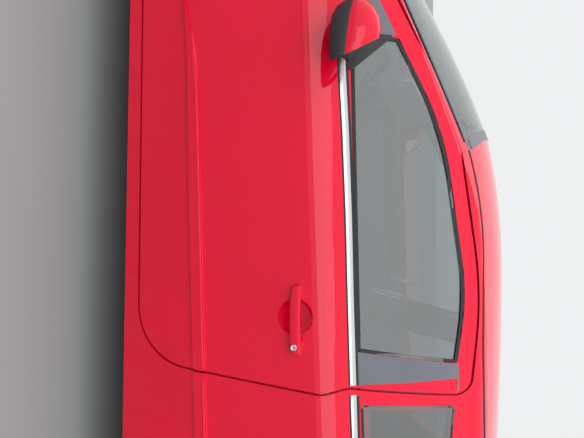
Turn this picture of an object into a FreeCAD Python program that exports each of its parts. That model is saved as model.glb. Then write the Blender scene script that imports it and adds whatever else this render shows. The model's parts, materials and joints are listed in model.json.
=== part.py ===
import FreeCAD, Part
import math
import os

# A three-door hatchback car, left-hand drive. Millimetres.
# X runs from the nose (-X) to the tail (+X), Y to the car's right, Z up.
# The origin is on the ground under the middle of the car.

V = FreeCAD.Vector
os.makedirs("parts", exist_ok=True)

# Stance
LENGTH = 4290.0
FRONT_OVERHANG = 900.0
WHEELBASE = 2614.0
HEIGHT = 1435.0
TRACK = 1488.0
NOSE_X = -LENGTH / 2
TAIL_X = LENGTH / 2
FRONT_AXLE_X = NOSE_X + FRONT_OVERHANG
REAR_AXLE_X = FRONT_AXLE_X + WHEELBASE

# Wheels
TYRE_RADIUS = 317.0
TYRE_WIDTH = 225.0
RIM_RADIUS = 216.0
RIM_WIDTH = 195.0
RIM_WALL = 9.0
SPOKE_COUNT = 5
BOLT_CIRCLE_RADIUS = 56.0
ARCH_RADIUS = 366.0
ARCH_INNER_Y = 450.0
WHEEL_Y = TRACK / 2

# Body shell
SILL_Z = 195.0
SWAGE_Z = 448.0
RAIL_Z = 1300.0
PANEL = 8.0
WALL = 110.0
PILLAR = 52.0
ROOF_THICKNESS = 28.0
GLASS = 5.0
GLASS_RECESS = 4.0
SEAT_GAP = 0.3

# Clearances round what opens
SHUT_GAP = 7.0
LID_GAP = 7.0
BONNET_FRONT_GAP = 11.0
BONNET_REAR_GAP = 10.0
TAILGATE_GAP = 8.0
TAILGATE_TOP_GAP = 10.0
PANEL_GAP = 3.0

# Half widths of the body along its length:
# x, sill, swage, shoulder, belt, roof rail, shoulder height, belt height
SIDE_ROWS = [
    (NOSE_X - 60, 800, 846, 830, 764, 555, 690, 785),
    (FRONT_AXLE_X, 828, 869, 868, 806, 582, 812, 880),
    (-700, 835, 872, 876, 833, 596, 838, 906),
    (87, 837, 874, 879, 840, 603, 873, 940),
    (760, 836, 874, 878, 838, 600, 903, 966),
    (REAR_AXLE_X, 828, 868, 870, 822, 582, 922, 990),
    (TAIL_X + 60, 786, 826, 806, 742, 500, 936, 1010),
]
DOOR_BULGE = 4.0
WINDOW_BULGE = 15.0
RAIL_WIDTH = 63.0
RAIL_RISE = 50.0
RAIL_BULGE = 9.0
SIDE_TOP_RISE = 100.0

# The long profile of the car at its centre, from the chin over the roof:
# x, z, x shift and z shift at PROFILE_HALF_WIDTH, inward x, inward z, bulge of the next stretch
PROFILE_HALF_WIDTH = 900.0
UNDERSIDE_Z = SILL_Z - 20
TAILGATE_TOP_X = 1660.0
TAILGATE_TOP_Z = 1352.0
PROFILE_ROWS = [
    (NOSE_X + 115, UNDERSIDE_Z, 60, 0, 2.0, 0.0, 12),
    (NOSE_X, 480, 75, 0, 2.0, 0.0, 10),
    (NOSE_X + 75, 705, 105, -70, 1.6, -0.8, 42),
    (-1040, 1010, 224, -30, 0.4, -1.0, 24),
    (-266, 1380, 338, -212, 0.3, -1.0, 14),
    (250, HEIGHT, 0, -241, 0.0, -1.0, 20),
    (TAILGATE_TOP_X, TAILGATE_TOP_Z, -60, -130, -0.6, -1.0, 10),
    (1960, 1010, -110, -30, -1.6, -0.5, 14),
    (TAIL_X - 65, 640, -90, 0, -2.2, 0.0, 6),
    (TAIL_X, 470, -75, 0, -2.0, 0.0, 12),
    (TAIL_X - 85, UNDERSIDE_Z, -60, 0, -2.0, 0.0, 0),
]

# Plan outline of the bumpers' corners: x, y, corner radius
PLAN_CORNERS = [
    (NOSE_X - 15, -500, 300),
    (NOSE_X + 185, -900, 350),
    (TAIL_X - 135, -900, 330),
    (TAIL_X + 25, -560, 250),
    (TAIL_X + 25, 560, 250),
    (TAIL_X - 135, 900, 330),
    (NOSE_X + 185, 900, 350),
    (NOSE_X - 15, 500, 300),
]

# Door outline seen from the side: x, z, corner radius
DOOR_FRONT_X = -740.0
DOOR_FRONT_LEAN = 7.0
DOOR_OUTLINE = [
    (DOOR_FRONT_X, 249, 30),
    (532, 257, 190),
    (604, 872, 12),
    (586, 950, 12),
    (637, 1299, 45),
    (320, 1334, 2500),
    (-240, 1257, 900),
    (DOOR_FRONT_X - DOOR_FRONT_LEAN, 1009, 25),
]
# Insets of the door's inner box, and of the hole it shuts into, edge by edge
DOOR_BOX_INSETS = [25, 32, 32, 36, 18, 18, 18, 22]
DOOR_HOLE_INSETS = [18, 18, 18, 20, 11, 11, 11, -SHUT_GAP]
DOOR_WINDOW = [
    (-480, 945, 8),
    (483, 972, 8),
    (537, 1262, 12),
    (320, 1292, 2500),
    (-200, 1222, 900),
    (-480, 1087, 10),
]
QUARTER_WINDOW = [
    (640, 985, 10),
    (1130, 1006, 30),
    (1236, 1196, 40),
    (668, 1256, 15),
]

# Side moulding, low on the door and the rear quarter: x, z, corner radius
MOULDING_PROUD = 8.0
MOULDING_OUTLINE = [
    (-625, 413, 0),
    (-437, 426, 900),
    (-100, 438, 0),
    (880, 479, 4),
    (880, 519, 4),
    (87, 486, 0),
    (-320, 472, 600),
    (-530, 438, 200),
]

# Door hinges: a pin behind the skin, and a cranked arm from the hinge pillar
HINGE_SETBACK = 75.0
HINGE_DEPTH = 17.0
HINGE_PIN_RADIUS = 4.5
HINGE_EYE_RADIUS = 7.0
PIN_CLEARANCE = 0.3
HINGE_HEIGHTS = (480.0, 780.0)
HINGE_ARM_HALF_HEIGHT = 20.0
HINGE_NOTCH_HALF_HEIGHT = 28.0
HINGE_ARM_REACH = 88.0
HINGE_ARM_WIDTH = 16.0

# Bonnet hinges: brackets on the bulkhead with pins in the bonnet's rear corners
BONNET_THICKNESS = 24.0
BONNET_HINGE_X = -954.0
BONNET_HINGE_Z = 974.0
BONNET_HINGE_Y = 672.0
BONNET_PIN_RADIUS = 3.5
BONNET_EYE_RADIUS = 6.5
BONNET_NOTCH_CEILING = 7.5
BRACKET_HALF_WIDTH = 8.0
BRACKET_FOOT_Z = (930.0, 946.0)

# Tailgate hinges: arms on the tailgate with pins in the roof's rear edge
TAILGATE_HINGE_SETBACK = 52.0
TAILGATE_HINGE_DROP = 18.0
TAILGATE_HINGE_Y = 220.0
TAILGATE_ARM_HALF_HEIGHT = 9.0
TAILGATE_PIN_RADIUS = 4.5
TAILGATE_BOX_INSET = 18.0

# Plate holes in the bumpers: height and half spacing, and the room for their screws behind the front one
PLATE_HOLE_RADIUS = 3.0
PLATE_HOLE_Y = 170.0
SCREW_ROOM_RADIUS = 8.0
SCREW_REACH = 100.0
FRONT_PLATE_Z = 510.0
REAR_PLATE_Z = 470.0

# Lids, in plan or from behind: two coordinates and a corner radius
BONNET_REAR_Y = 716.0
BONNET_OUTLINE = [
    (NOSE_X + 121, -545, 0),
    (NOSE_X + 330, -668, 300),
    (-911, -BONNET_REAR_Y, 0),
    (-1081, 0, None),
    (-911, BONNET_REAR_Y, 0),
    (NOSE_X + 330, 668, 300),
    (NOSE_X + 121, 545, 0),
    (NOSE_X + 81, 0, None),
]
WINDSCREEN_OUTLINE = [
    (-862, -768, 0),
    (-605, -706, 2500),
    (-150, -552, 0),
    (-262, 0, None),
    (-150, 552, 0),
    (-605, 706, 2500),
    (-862, 768, 0),
    (-1034, 0, None),
]
SCREEN_FLANGE = 22.0
SCUTTLE_DROP = 48.0
SCUTTLE_THICKNESS = 12.0
SCUTTLE_OVERLAP = 25.0
SCUTTLE_HALF_WIDTH = 650.0
ROOF_FRONT_X = -290.0
ROOF_HALF_WIDTH_FRONT = 536.0
ROOF_HALF_WIDTH_REAR = 512.0
TAILGATE_OUTLINE = [
    (-500, 1450, 0),
    (500, 1450, 0),
    (560, 1180, 300),
    (640, 1000, 80),
    (560, 620, 50),
    (-560, 620, 50),
    (-640, 1000, 80),
    (-560, 1180, 300),
]
REAR_SCREEN_OUTLINE = [
    (-430, 1285, 40),
    (430, 1285, 40),
    (530, 1040, 60),
    (-530, 1040, 60),
]

# Side view of what closes the two ends: x, z, corner radius
WING_OUTLINE = [
    (DOOR_FRONT_X - SHUT_GAP, 256, 12),
    (DOOR_FRONT_X - SHUT_GAP - DOOR_FRONT_LEAN, 965, 0),
    (-900, 1010, 0),
    (-1000, 1100, 0),
    (NOSE_X - 60, 1100, 0),
    (NOSE_X - 60, 256, 0),
]
FRONT_BUMPER_OUTLINE = [
    (NOSE_X - 60, 100, 0),
    (-1560, 100, 0),
    (-1560, 566, 0),
    (-1880, 628, 120),
    (-2010, 600, 120),
    (NOSE_X - 60, 590, 0),
]
HEADLAMP_OUTLINE = [
    (NOSE_X - 60, 596, 0),
    (-2010, 606, 120),
    (-1880, 634, 120),
    (-1790, 700, 40),
    (-1760, 772, 30),
    (-2000, 740, 300),
    (NOSE_X - 60, 700, 0),
]
HEADLAMP_INNER_Y = 405.0
GRILLE_HALF_WIDTH = 398.0
GRILLE_Z = (604.0, 668.0)
GRILLE_SLATS = 4
GRILLE_END_DROP = 4.0
SLAT_THICKNESS = 6.0
INTAKE_HALF_WIDTH = 430.0
INTAKE_Z = (262.0, 420.0)
INTAKE_SLATS = 5
REAR_BUMPER_OUTLINE = [
    (TAIL_X + 60, 100, 0),
    (1690, 100, 0),
    (1690, 560, 0),
    (1850, 640, 100),
    (1990, 612, 60),
    (TAIL_X + 60, 612, 0),
]
TAIL_LAMP_OUTLINE = [
    (570, 745, 20),
    (880, 745, 0),
    (880, 950, 0),
    (640, 965, 30),
]
TAIL_LAMP_FRONT_X = 1890.0
REAR_SKIRT_Z = 250.0

# Floor and engine bay
FLOOR_Z = 205.0
FLOOR_THICKNESS = 22.0
TUNNEL_HALF_WIDTH = 120.0
TUNNEL_TOP_Z = 400.0
BULKHEAD_X = -905.0
BULKHEAD_THICKNESS = 14.0
SEAT_WELL_X = 662.0
BOOT_FLOOR_Z = 400.0


def corner_arc(before, corner, after, radius):
    """Start, middle and end of the arc that rounds a corner."""
    cx, cy = corner
    ax, ay = before[0] - cx, before[1] - cy
    bx, by = after[0] - cx, after[1] - cy
    la, lb = math.hypot(ax, ay), math.hypot(bx, by)
    ax, ay, bx, by = ax / la, ay / la, bx / lb, by / lb
    half = math.acos(max(-1.0, min(1.0, ax * bx + ay * by))) / 2
    reach = min(radius / math.tan(half), 0.49 * la, 0.49 * lb)
    radius = reach * math.tan(half)
    mx, my = ax + bx, ay + by
    lm = math.hypot(mx, my)
    mx, my = mx / lm, my / lm
    tip = radius / math.sin(half) - radius
    return (
        (cx + ax * reach, cy + ay * reach),
        (cx + mx * tip, cy + my * tip),
        (cx + bx * reach, cy + by * reach),
    )


def flat(axis, level, point):
    """A point of a flat outline, in space: the outline's plane is square to the axis."""
    a, b = point
    if axis == "x":
        return V(level, a, b)
    if axis == "y":
        return V(a, level, b)
    return V(a, b, level)


def rounded_wire(axis, level, corners):
    """A closed outline of straight runs and corner arcs. A corner whose radius is None is
    a point on the arc that joins the corners beside it."""
    through = {}
    turns = []
    for corner in corners:
        if corner[2] is None:
            through[len(turns)] = corner[:2]
        else:
            turns.append(corner)
    count = len(turns)
    through = {i % count: point for i, point in through.items()}
    arcs = []
    for i in range(count):
        before, here, after = turns[i - 1], turns[i], turns[(i + 1) % count]
        beside_curve = i in through or (i + 1) % count in through
        if here[2] > 0 and not beside_curve:
            arcs.append(corner_arc(before[:2], here[:2], after[:2], here[2]))
        else:
            arcs.append((here[:2], here[:2], here[:2]))
    edges = []
    for i in range(count):
        start, middle, end = [flat(axis, level, p) for p in arcs[i]]
        following = flat(axis, level, arcs[(i + 1) % count][0])
        if start.distanceToPoint(end) > 1e-6:
            edges.append(Part.Arc(start, middle, end).toShape())
        if (i + 1) % count in through:
            bend = flat(axis, level, through[(i + 1) % count])
            edges.append(Part.Arc(end, bend, following).toShape())
        elif end.distanceToPoint(following) > 1e-6:
            edges.append(Part.LineSegment(end, following).toShape())
    return Part.Wire(edges)


def prism(axis, corners, low, high):
    """A rounded outline, extruded along an axis from low to high."""
    step = {"x": V(high - low, 0, 0), "y": V(0, high - low, 0), "z": V(0, 0, high - low)}[axis]
    return Part.Face(rounded_wire(axis, low, corners)).extrude(step)


def inset(corners, distances):
    """Moves each edge of an outline inwards; edge i runs from corner i to corner i + 1."""
    count = len(corners)
    if not isinstance(distances, (list, tuple)):
        distances = [distances] * count
    area = 0.0
    for i in range(count):
        (x0, y0), (x1, y1) = corners[i][:2], corners[(i + 1) % count][:2]
        area += x0 * y1 - x1 * y0
    turn = 1.0 if area > 0 else -1.0
    lines = []
    for i in range(count):
        (x0, y0), (x1, y1) = corners[i][:2], corners[(i + 1) % count][:2]
        length = math.hypot(x1 - x0, y1 - y0)
        ux, uy = (x1 - x0) / length, (y1 - y0) / length
        nx, ny = -uy * turn, ux * turn
        lines.append((x0 + nx * distances[i], y0 + ny * distances[i], ux, uy))
    moved = []
    for i in range(count):
        px, py, ux, uy = lines[i - 1]
        qx, qy, wx, wy = lines[i]
        cross = ux * wy - uy * wx
        t = ((qx - px) * wy - (qy - py) * wx) / cross
        convex = cross * turn > 0
        change = (distances[i - 1] + distances[i]) / 2
        radius = corners[i][2] - change if convex else corners[i][2] + change
        moved.append((px + ux * t, py + uy * t, max(radius, 3.0)))
    return moved


def outset(corners, distance):
    return inset(corners, -distance)


def box(x0, x1, y0, y1, z0, z1):
    return Part.makeBox(x1 - x0, y1 - y0, z1 - z0, V(x0, y0, z0))


def cylinder(axis, centre, radius, low, high):
    """A round bar along an axis; centre gives its two other coordinates."""
    direction = {"x": V(1, 0, 0), "y": V(0, 1, 0), "z": V(0, 0, 1)}[axis]
    return Part.makeCylinder(radius, high - low, flat(axis, low, centre), direction)


def bar(start, end, radius):
    start, end = V(*start), V(*end)
    return Part.makeCylinder(radius, start.distanceToPoint(end), start, end - start)


def pipe(points, radius, bend):
    """A round pipe through the points, with a bend of that radius at each inner point."""
    points = [V(*p) for p in points]
    start = points[0]
    edges = []
    for before, corner, after in zip(points, points[1:], points[2:]):
        back = (before - corner).normalize()
        ahead = (after - corner).normalize()
        half = back.getAngle(ahead) / 2
        reach = bend / math.tan(half)
        tip = corner + (back + ahead).normalize() * (bend / math.sin(half) - bend)
        edges.append(Part.LineSegment(start, corner + back * reach).toShape())
        start = corner + ahead * reach
        edges.append(Part.Arc(corner + back * reach, tip, start).toShape())
    edges.append(Part.LineSegment(start, points[-1]).toShape())
    end_circle = Part.Wire(Part.makeCircle(radius, points[0], points[1] - points[0]))
    return Part.Wire(edges).makePipeShell([end_circle], True, False)


def mirrored(shape):
    """The same shape on the car's other side."""
    return shape.mirror(V(0, 0, 0), V(0, 1, 0))


def united(shapes):
    first = shapes[0]
    return first.fuse(shapes[1:]).removeSplitter() if len(shapes) > 1 else first


def save(name, shape):
    solids = shape.Solids
    shape = solids[0] if len(solids) == 1 else Part.makeCompound(solids)
    shape.exportStep("parts/" + name + ".step")
    size = shape.BoundBox
    print(
        "%-20s solids %d volume %.1f l  x %.0f..%.0f y %.0f..%.0f z %.0f..%.0f valid %s"
        % (name, len(solids), shape.Volume / 1e6, size.XMin, size.XMax,
           size.YMin, size.YMax, size.ZMin, size.ZMax, shape.isValid())
    )
    return shape


def side_section(row, depth_low, depth_high):
    """One cross-section of the body's width, depth_low inside the doors, depth_high inside the glass."""
    x, sill, swage, shoulder, belt, rail, z_shoulder, z_belt = row
    low = [(sill, SILL_Z), (swage, SWAGE_Z), (shoulder, z_shoulder), (belt, z_belt)]
    high = [(rail, RAIL_Z), (rail - RAIL_WIDTH, RAIL_Z + RAIL_RISE)]
    step = [(belt - depth_high, z_belt + 1.0)] if depth_low != depth_high else []
    half = [(y - depth_low, z) for y, z in low] + step + [(y - depth_high, z) for y, z in high]
    top_y = half[-1][0] - SIDE_TOP_RISE * 2
    half.append((top_y, RAIL_Z + RAIL_RISE + SIDE_TOP_RISE))
    bulges = [0.0, DOOR_BULGE, 0.0] + [0.0] * len(step) + [WINDOW_BULGE, RAIL_BULGE, 0.0]
    edges = []
    for sign in (-1, 1):
        run = []
        for i, bulge in enumerate(bulges):
            (y0, z0), (y1, z1) = half[i], half[i + 1]
            start, end = V(x, sign * y0, z0), V(x, sign * y1, z1)
            if bulge:
                length = math.hypot(y1 - y0, z1 - z0)
                ym = (y0 + y1) / 2 + bulge * (z1 - z0) / length
                zm = (z0 + z1) / 2 - bulge * (y1 - y0) / length
                ends = (start, end) if sign < 0 else (end, start)
                run.append(Part.Arc(ends[0], V(x, sign * ym, zm), ends[1]).toShape())
            else:
                ends = (start, end) if sign < 0 else (end, start)
                run.append(Part.LineSegment(*ends).toShape())
        if sign > 0:
            run.reverse()
            top = Part.LineSegment(V(x, -top_y, half[-1][1]), V(x, top_y, half[-1][1])).toShape()
            edges.append(top)
        edges += run
    bottom_y, bottom_z = half[0]
    edges.append(Part.LineSegment(V(x, bottom_y, bottom_z), V(x, -bottom_y, bottom_z)).toShape())
    return Part.Wire(edges)


def width_solid(depth_low, depth_high):
    return Part.makeLoft([side_section(row, depth_low, depth_high) for row in SIDE_ROWS], True, False)


def long_profile(y, depth):
    """The car's outline in the plane at y, moved inwards by depth."""
    share = (y / PROFILE_HALF_WIDTH) ** 2
    points = []
    for x, z, shift_x, shift_z, in_x, in_z, bulge in PROFILE_ROWS:
        points.append((x + shift_x * share + in_x * depth, z + shift_z * share + in_z * depth, bulge))
    edges = []
    for i in range(len(points)):
        x0, z0, bulge = points[i]
        x1, z1 = points[(i + 1) % len(points)][:2]
        start, end = V(x0, y, z0), V(x1, y, z1)
        if bulge:
            length = math.hypot(x1 - x0, z1 - z0)
            middle = V((x0 + x1) / 2 - bulge * (z1 - z0) / length, y,
                       (z0 + z1) / 2 + bulge * (x1 - x0) / length)
            edges.append(Part.Arc(start, middle, end).toShape())
        else:
            edges.append(Part.LineSegment(start, end).toShape())
    return Part.Wire(edges)


def long_solid(depth):
    stations = (-1.0, -0.5, 0.0, 0.5, 1.0)
    return Part.makeLoft([long_profile(s * PROFILE_HALF_WIDTH, depth) for s in stations], True, False)


def body_solid(depth_low, depth_high, depth_long):
    """The whole body's outer form, moved inwards by the three depths."""
    plan = prism("z", inset(PLAN_CORNERS, depth_long) if depth_long else PLAN_CORNERS, 0, 1600)
    return width_solid(depth_low, depth_high).common(long_solid(depth_long)).common(plan)


# Master forms that every panel is cut from
outer = body_solid(0, 0, 0)
inner = body_solid(WALL, PILLAR, ROOF_THICKNESS)
wing_core = body_solid(40, 40, ROOF_THICKNESS)
skin_core = width_solid(PANEL, PANEL)
rebate_core = width_solid(PANEL + SHUT_GAP, PANEL + SHUT_GAP)
LEFT = (-960.0, -250.0)
BOTH = (-960.0, 960.0)
SKY = 1600.0

# Screens first: each pane lies in a rebate with a flange behind it
screen_core = long_solid(GLASS)
screen_bed = long_solid(GLASS + SEAT_GAP)


def widened(corners, side, front=None, rear=None):
    """A plan outline with through-points, grown sideways, forwards and rearwards."""
    front = side if front is None else front
    rear = side if rear is None else rear
    xs = [p[0] for p in corners]
    centre = (min(xs) + max(xs)) / 2
    grown = []
    for x, y, radius in corners:
        new_x = x - front if x < centre else x + rear
        grown.append((new_x, y and y + math.copysign(side, y), radius))
    return grown


windscreen_zone = prism("z", WINDSCREEN_OUTLINE, 900, SKY)
windscreen_hole = prism("z", widened(WINDSCREEN_OUTLINE, -SCREEN_FLANGE), 700, SKY)
windscreen_bed = prism("z", widened(WINDSCREEN_OUTLINE, SEAT_GAP), 900, SKY).cut(screen_bed)
save("windscreen", outer.common(windscreen_zone).cut(screen_core))

rear_screen_zone = prism("x", REAR_SCREEN_OUTLINE, 1500, 2300)
rear_screen_hole = prism("x", inset(REAR_SCREEN_OUTLINE, SCREEN_FLANGE), 1500, 2300)
rear_screen_bed = prism("x", outset(REAR_SCREEN_OUTLINE, SEAT_GAP), 1500, 2300).cut(screen_bed)
tailgate_glass = save("tailgate_glass", outer.common(rear_screen_zone).cut(screen_core))

shell = outer.cut(inner).cut(windscreen_hole).cut(windscreen_bed)

# Zones that divide the shell
bonnet_zone = prism("z", BONNET_OUTLINE, 350, SKY)
bonnet_gap = prism("z", widened(BONNET_OUTLINE, LID_GAP, BONNET_FRONT_GAP, BONNET_REAR_GAP), 350, SKY)
roof_zone = prism("z", [
    (ROOF_FRONT_X, -ROOF_HALF_WIDTH_FRONT, 0),
    (TAILGATE_TOP_X - TAILGATE_TOP_GAP, -ROOF_HALF_WIDTH_REAR, 0),
    (TAILGATE_TOP_X - TAILGATE_TOP_GAP, ROOF_HALF_WIDTH_REAR, 0),
    (ROOF_FRONT_X, ROOF_HALF_WIDTH_FRONT, 0),
], 1100, SKY)
tailgate_zone = prism("x", TAILGATE_OUTLINE, TAILGATE_TOP_X, 2300)
tailgate_gap = prism("x", outset(TAILGATE_OUTLINE, TAILGATE_GAP), TAILGATE_TOP_X - TAILGATE_TOP_GAP, 2300)
wing_zone = prism("y", WING_OUTLINE, *BOTH)
front_bumper_zone = prism("y", FRONT_BUMPER_OUTLINE, *BOTH)
front_bumper_gap = prism("y", outset(FRONT_BUMPER_OUTLINE, PANEL_GAP), *BOTH)
rear_bumper_zone = prism("y", REAR_BUMPER_OUTLINE, *BOTH)
rear_bumper_gap = prism("y", outset(REAR_BUMPER_OUTLINE, PANEL_GAP), *BOTH)
door_zone = prism("y", DOOR_OUTLINE, *LEFT)


def arch(axle_x, inner_y, radius=ARCH_RADIUS):
    """The wheel's space on both sides of the car."""
    left = cylinder("y", (axle_x, TYRE_RADIUS), radius, -960, -inner_y)
    return left.fuse(mirrored(left))


REAR_ARCH_INNER_Y = WHEEL_Y - TYRE_WIDTH / 2 - 25
front_arches = arch(FRONT_AXLE_X, ARCH_INNER_Y)
rear_arches = arch(REAR_AXLE_X, REAR_ARCH_INNER_Y)

# Roof, with slots in its rear edge for the tailgate's arms
TAILGATE_HINGE = (TAILGATE_TOP_X - TAILGATE_HINGE_SETBACK, TAILGATE_TOP_Z - TAILGATE_HINGE_DROP)


def tailgate_arm(y):
    """One arm with its eye and pin."""
    x, z = TAILGATE_HINGE
    low, high = y - BRACKET_HALF_WIDTH, y + BRACKET_HALF_WIDTH
    arm = box(x, TAILGATE_TOP_X + 12, low, high, z - TAILGATE_ARM_HALF_HEIGHT, z + TAILGATE_ARM_HALF_HEIGHT)
    eye = cylinder("y", (x, z), TAILGATE_ARM_HALF_HEIGHT, low, high)
    pin = cylinder("y", (x, z), TAILGATE_PIN_RADIUS, low - 12, high + 12)
    return arm.fuse([eye, pin])


def tailgate_slot(y):
    """The arm's room in the roof, with the pin's bore."""
    x, z = TAILGATE_HINGE
    reach = BRACKET_HALF_WIDTH + 5
    room = box(x - TAILGATE_ARM_HALF_HEIGHT - 6, TAILGATE_TOP_X, y - reach, y + reach, z - 60, SKY)
    bore = cylinder("y", (x, z), TAILGATE_PIN_RADIUS + PIN_CLEARANCE, y - reach - 8, y + reach + 8)
    return room.fuse(bore)


roof = shell.common(roof_zone)
for y in (-TAILGATE_HINGE_Y, TAILGATE_HINGE_Y):
    roof = roof.cut(tailgate_slot(y))
save("roof_panel", roof)


def bonnet_bracket(y):
    """One bracket on the bulkhead, with its eye and pin."""
    low, high = y - BRACKET_HALF_WIDTH, y + BRACKET_HALF_WIDTH
    foot_low, foot_high = BRACKET_FOOT_Z
    front, rear = BONNET_HINGE_X - BONNET_EYE_RADIUS, BONNET_HINGE_X + BONNET_EYE_RADIUS
    leg = box(front, rear, low, high, foot_low, BONNET_HINGE_Z)
    foot = box(front, BULKHEAD_X + 5, low, high, foot_low, foot_high)
    centre = (BONNET_HINGE_X, BONNET_HINGE_Z)
    eye = cylinder("y", centre, BONNET_EYE_RADIUS, low, high)
    pin = cylinder("y", centre, BONNET_PIN_RADIUS, low - 12, high + 12)
    return leg.fuse([foot, eye, pin])


def bonnet_notch(y):
    """The bracket's room under the bonnet's skin, with the pin's bore."""
    reach = BRACKET_HALF_WIDTH + 5
    room = box(BONNET_HINGE_X - 20, BONNET_HINGE_X + 60, y - reach, y + reach,
               BONNET_HINGE_Z - 60, BONNET_HINGE_Z + BONNET_NOTCH_CEILING)
    bore = cylinder("y", (BONNET_HINGE_X, BONNET_HINGE_Z), BONNET_PIN_RADIUS + PIN_CLEARANCE,
                    y - reach - 8, y + reach + 8)
    return room.fuse(bore)


# Bonnet: the top layer of the nose
nose = outer.common(bonnet_zone)
bonnet = nose.cut(nose.translated(V(0, 0, -BONNET_THICKNESS)))
for y in (-BONNET_HINGE_Y, BONNET_HINGE_Y):
    bonnet = bonnet.cut(bonnet_notch(y))
save("bonnet", bonnet)

# Tailgate: a skin with a narrower box behind it, and its two arms
tailgate_skin = outer.common(tailgate_zone).cut(screen_core)
tailgate_core = outer.cut(inner).common(prism("x", inset(TAILGATE_OUTLINE, TAILGATE_BOX_INSET), TAILGATE_TOP_X, 2300))
tailgate = tailgate_skin.fuse(tailgate_core).cut(rear_screen_bed).cut(rear_screen_hole)
tailgate = tailgate.fuse([tailgate_arm(y) for y in (-TAILGATE_HINGE_Y, TAILGATE_HINGE_Y)])
save("tailgate", tailgate.removeSplitter())

# Bumpers, lamps and grille
front_shell = shell.cut(bonnet_gap).cut(front_arches)


def slots(half_width, heights, slat_count):
    """The openings between an inlet's slats."""
    low, high = heights
    pitch = (high - low + SLAT_THICKNESS) / (slat_count + 1)
    rooms = []
    for i in range(slat_count + 1):
        start = low + pitch * i
        rooms.append(box(NOSE_X - 60, -1950, -half_width, half_width, start, start + pitch - SLAT_THICKNESS))
    return rooms


def plate_holes(x0, x1, z, radius=PLATE_HOLE_RADIUS):
    return [cylinder("x", (y, z), radius, x0, x1) for y in (-PLATE_HOLE_Y, PLATE_HOLE_Y)]


headlamp_band = prism("y", HEADLAMP_OUTLINE, -960, -HEADLAMP_INNER_Y)
headlamp_band = headlamp_band.fuse(mirrored(headlamp_band))
front_bumper = front_shell.common(front_bumper_zone)
front_bumper = front_bumper.cut(slots(INTAKE_HALF_WIDTH, INTAKE_Z, INTAKE_SLATS))
save("front_bumper", front_bumper.cut(plate_holes(NOSE_X - 60, NOSE_X + 200, FRONT_PLATE_Z)))
save("headlamps", front_shell.common(headlamp_band))
panel_half_width = HEADLAMP_INNER_Y - PANEL_GAP
front_panel = shell.common(box(NOSE_X - 60, -1900, -panel_half_width, panel_half_width, 601, 730))
front_panel = front_panel.cut(bonnet_gap.common(box(-2200, -1800, *BOTH, GRILLE_Z[1] - GRILLE_END_DROP, 800)))
save("grille", front_panel.cut(slots(GRILLE_HALF_WIDTH, GRILLE_Z, GRILLE_SLATS)))
rear_bumper = shell.cut(tailgate_gap).cut(rear_arches).common(rear_bumper_zone)
rear_bumper = rear_bumper.cut(box(1600, TAIL_X + 60, *BOTH, 100, REAR_SKIRT_Z))
save("rear_bumper", rear_bumper.cut(plate_holes(TAIL_X - 200, TAIL_X + 60, REAR_PLATE_Z)))

# Front wings
wings = outer.cut(wing_core).cut(bonnet_gap).cut(front_arches).common(wing_zone)
wings = wings.cut(front_bumper_gap).cut(headlamp_band).cut(windscreen_zone)
scuttle_box = box(-1120, -780, -690, 690, 800, 1150)
wings = wings.cut(box(NOSE_X - 60, BULKHEAD_X + 200, -600, 600, 100, 1200))
save("front_wings", wings.cut(box(-1120, -780, -725, 725, 800, 1150)))

# Scuttle: a sunk channel behind the bonnet, and the rail that the windscreen's lower edge lies on
under_outer = outer.common(box(-1150, -780, *BOTH, 700, 1150))
scuttle_floor = under_outer.translated(V(0, 0, -SCUTTLE_DROP - SCUTTLE_THICKNESS))
rail = under_outer.common(windscreen_zone).cut(windscreen_hole).cut(windscreen_bed).cut(scuttle_floor)
rail = rail.common(scuttle_box)
channel_box = box(-1150, -800, -SCUTTLE_HALF_WIDTH, SCUTTLE_HALF_WIDTH, 700, 1150)
channel = under_outer.translated(V(0, 0, -SCUTTLE_DROP)).cut(scuttle_floor).common(channel_box)
channel = channel.cut(bonnet_zone.translated(V(-SCUTTLE_OVERLAP, 0, 0))).cut(windscreen_hole)
scuttle = save("scuttle", rail.fuse(channel))

# Tail lamps
lamp_zone = prism("x", TAIL_LAMP_OUTLINE, TAIL_LAMP_FRONT_X, 2300)
lamp_zone = lamp_zone.fuse(mirrored(lamp_zone))
save("tail_lamps", shell.common(lamp_zone).cut(tailgate_gap).cut(rear_bumper_gap))

# Door hinge axis
HINGE_X = DOOR_FRONT_X + HINGE_SETBACK
HINGE_Y = -(875.0 - HINGE_DEPTH)


def hinge_arm(z):
    """The pillar's cranked arm with its eye, at one hinge height."""
    reach = HINGE_Y + HINGE_ARM_REACH
    low, high = z - HINGE_ARM_HALF_HEIGHT, z + HINGE_ARM_HALF_HEIGHT
    pillar_x = DOOR_FRONT_X - SHUT_GAP - 6
    along = box(pillar_x, HINGE_X + HINGE_EYE_RADIUS, reach - HINGE_ARM_WIDTH, reach, low, high)
    leg = box(HINGE_X - HINGE_EYE_RADIUS, HINGE_X + HINGE_EYE_RADIUS, HINGE_Y, reach, low, high)
    eye = cylinder("z", (HINGE_X, HINGE_Y), HINGE_EYE_RADIUS, low, high)
    pin_reach = HINGE_NOTCH_HALF_HEIGHT + 12
    pin = cylinder("z", (HINGE_X, HINGE_Y), HINGE_PIN_RADIUS, z - pin_reach, z + pin_reach)
    return along.fuse([leg, eye, pin])


def hinge_notch(z):
    """The space that the arm needs in the door, with the pin's bore."""
    low, high = z - HINGE_NOTCH_HALF_HEIGHT, z + HINGE_NOTCH_HALF_HEIGHT
    room = box(DOOR_FRONT_X - 2, HINGE_X + HINGE_EYE_RADIUS + 8,
               HINGE_Y - HINGE_EYE_RADIUS - 0.5, -500, low, high)
    bore = cylinder("z", (HINGE_X, HINGE_Y), HINGE_PIN_RADIUS + PIN_CLEARANCE, low - 14, high + 14)
    return room.fuse(bore)


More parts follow.
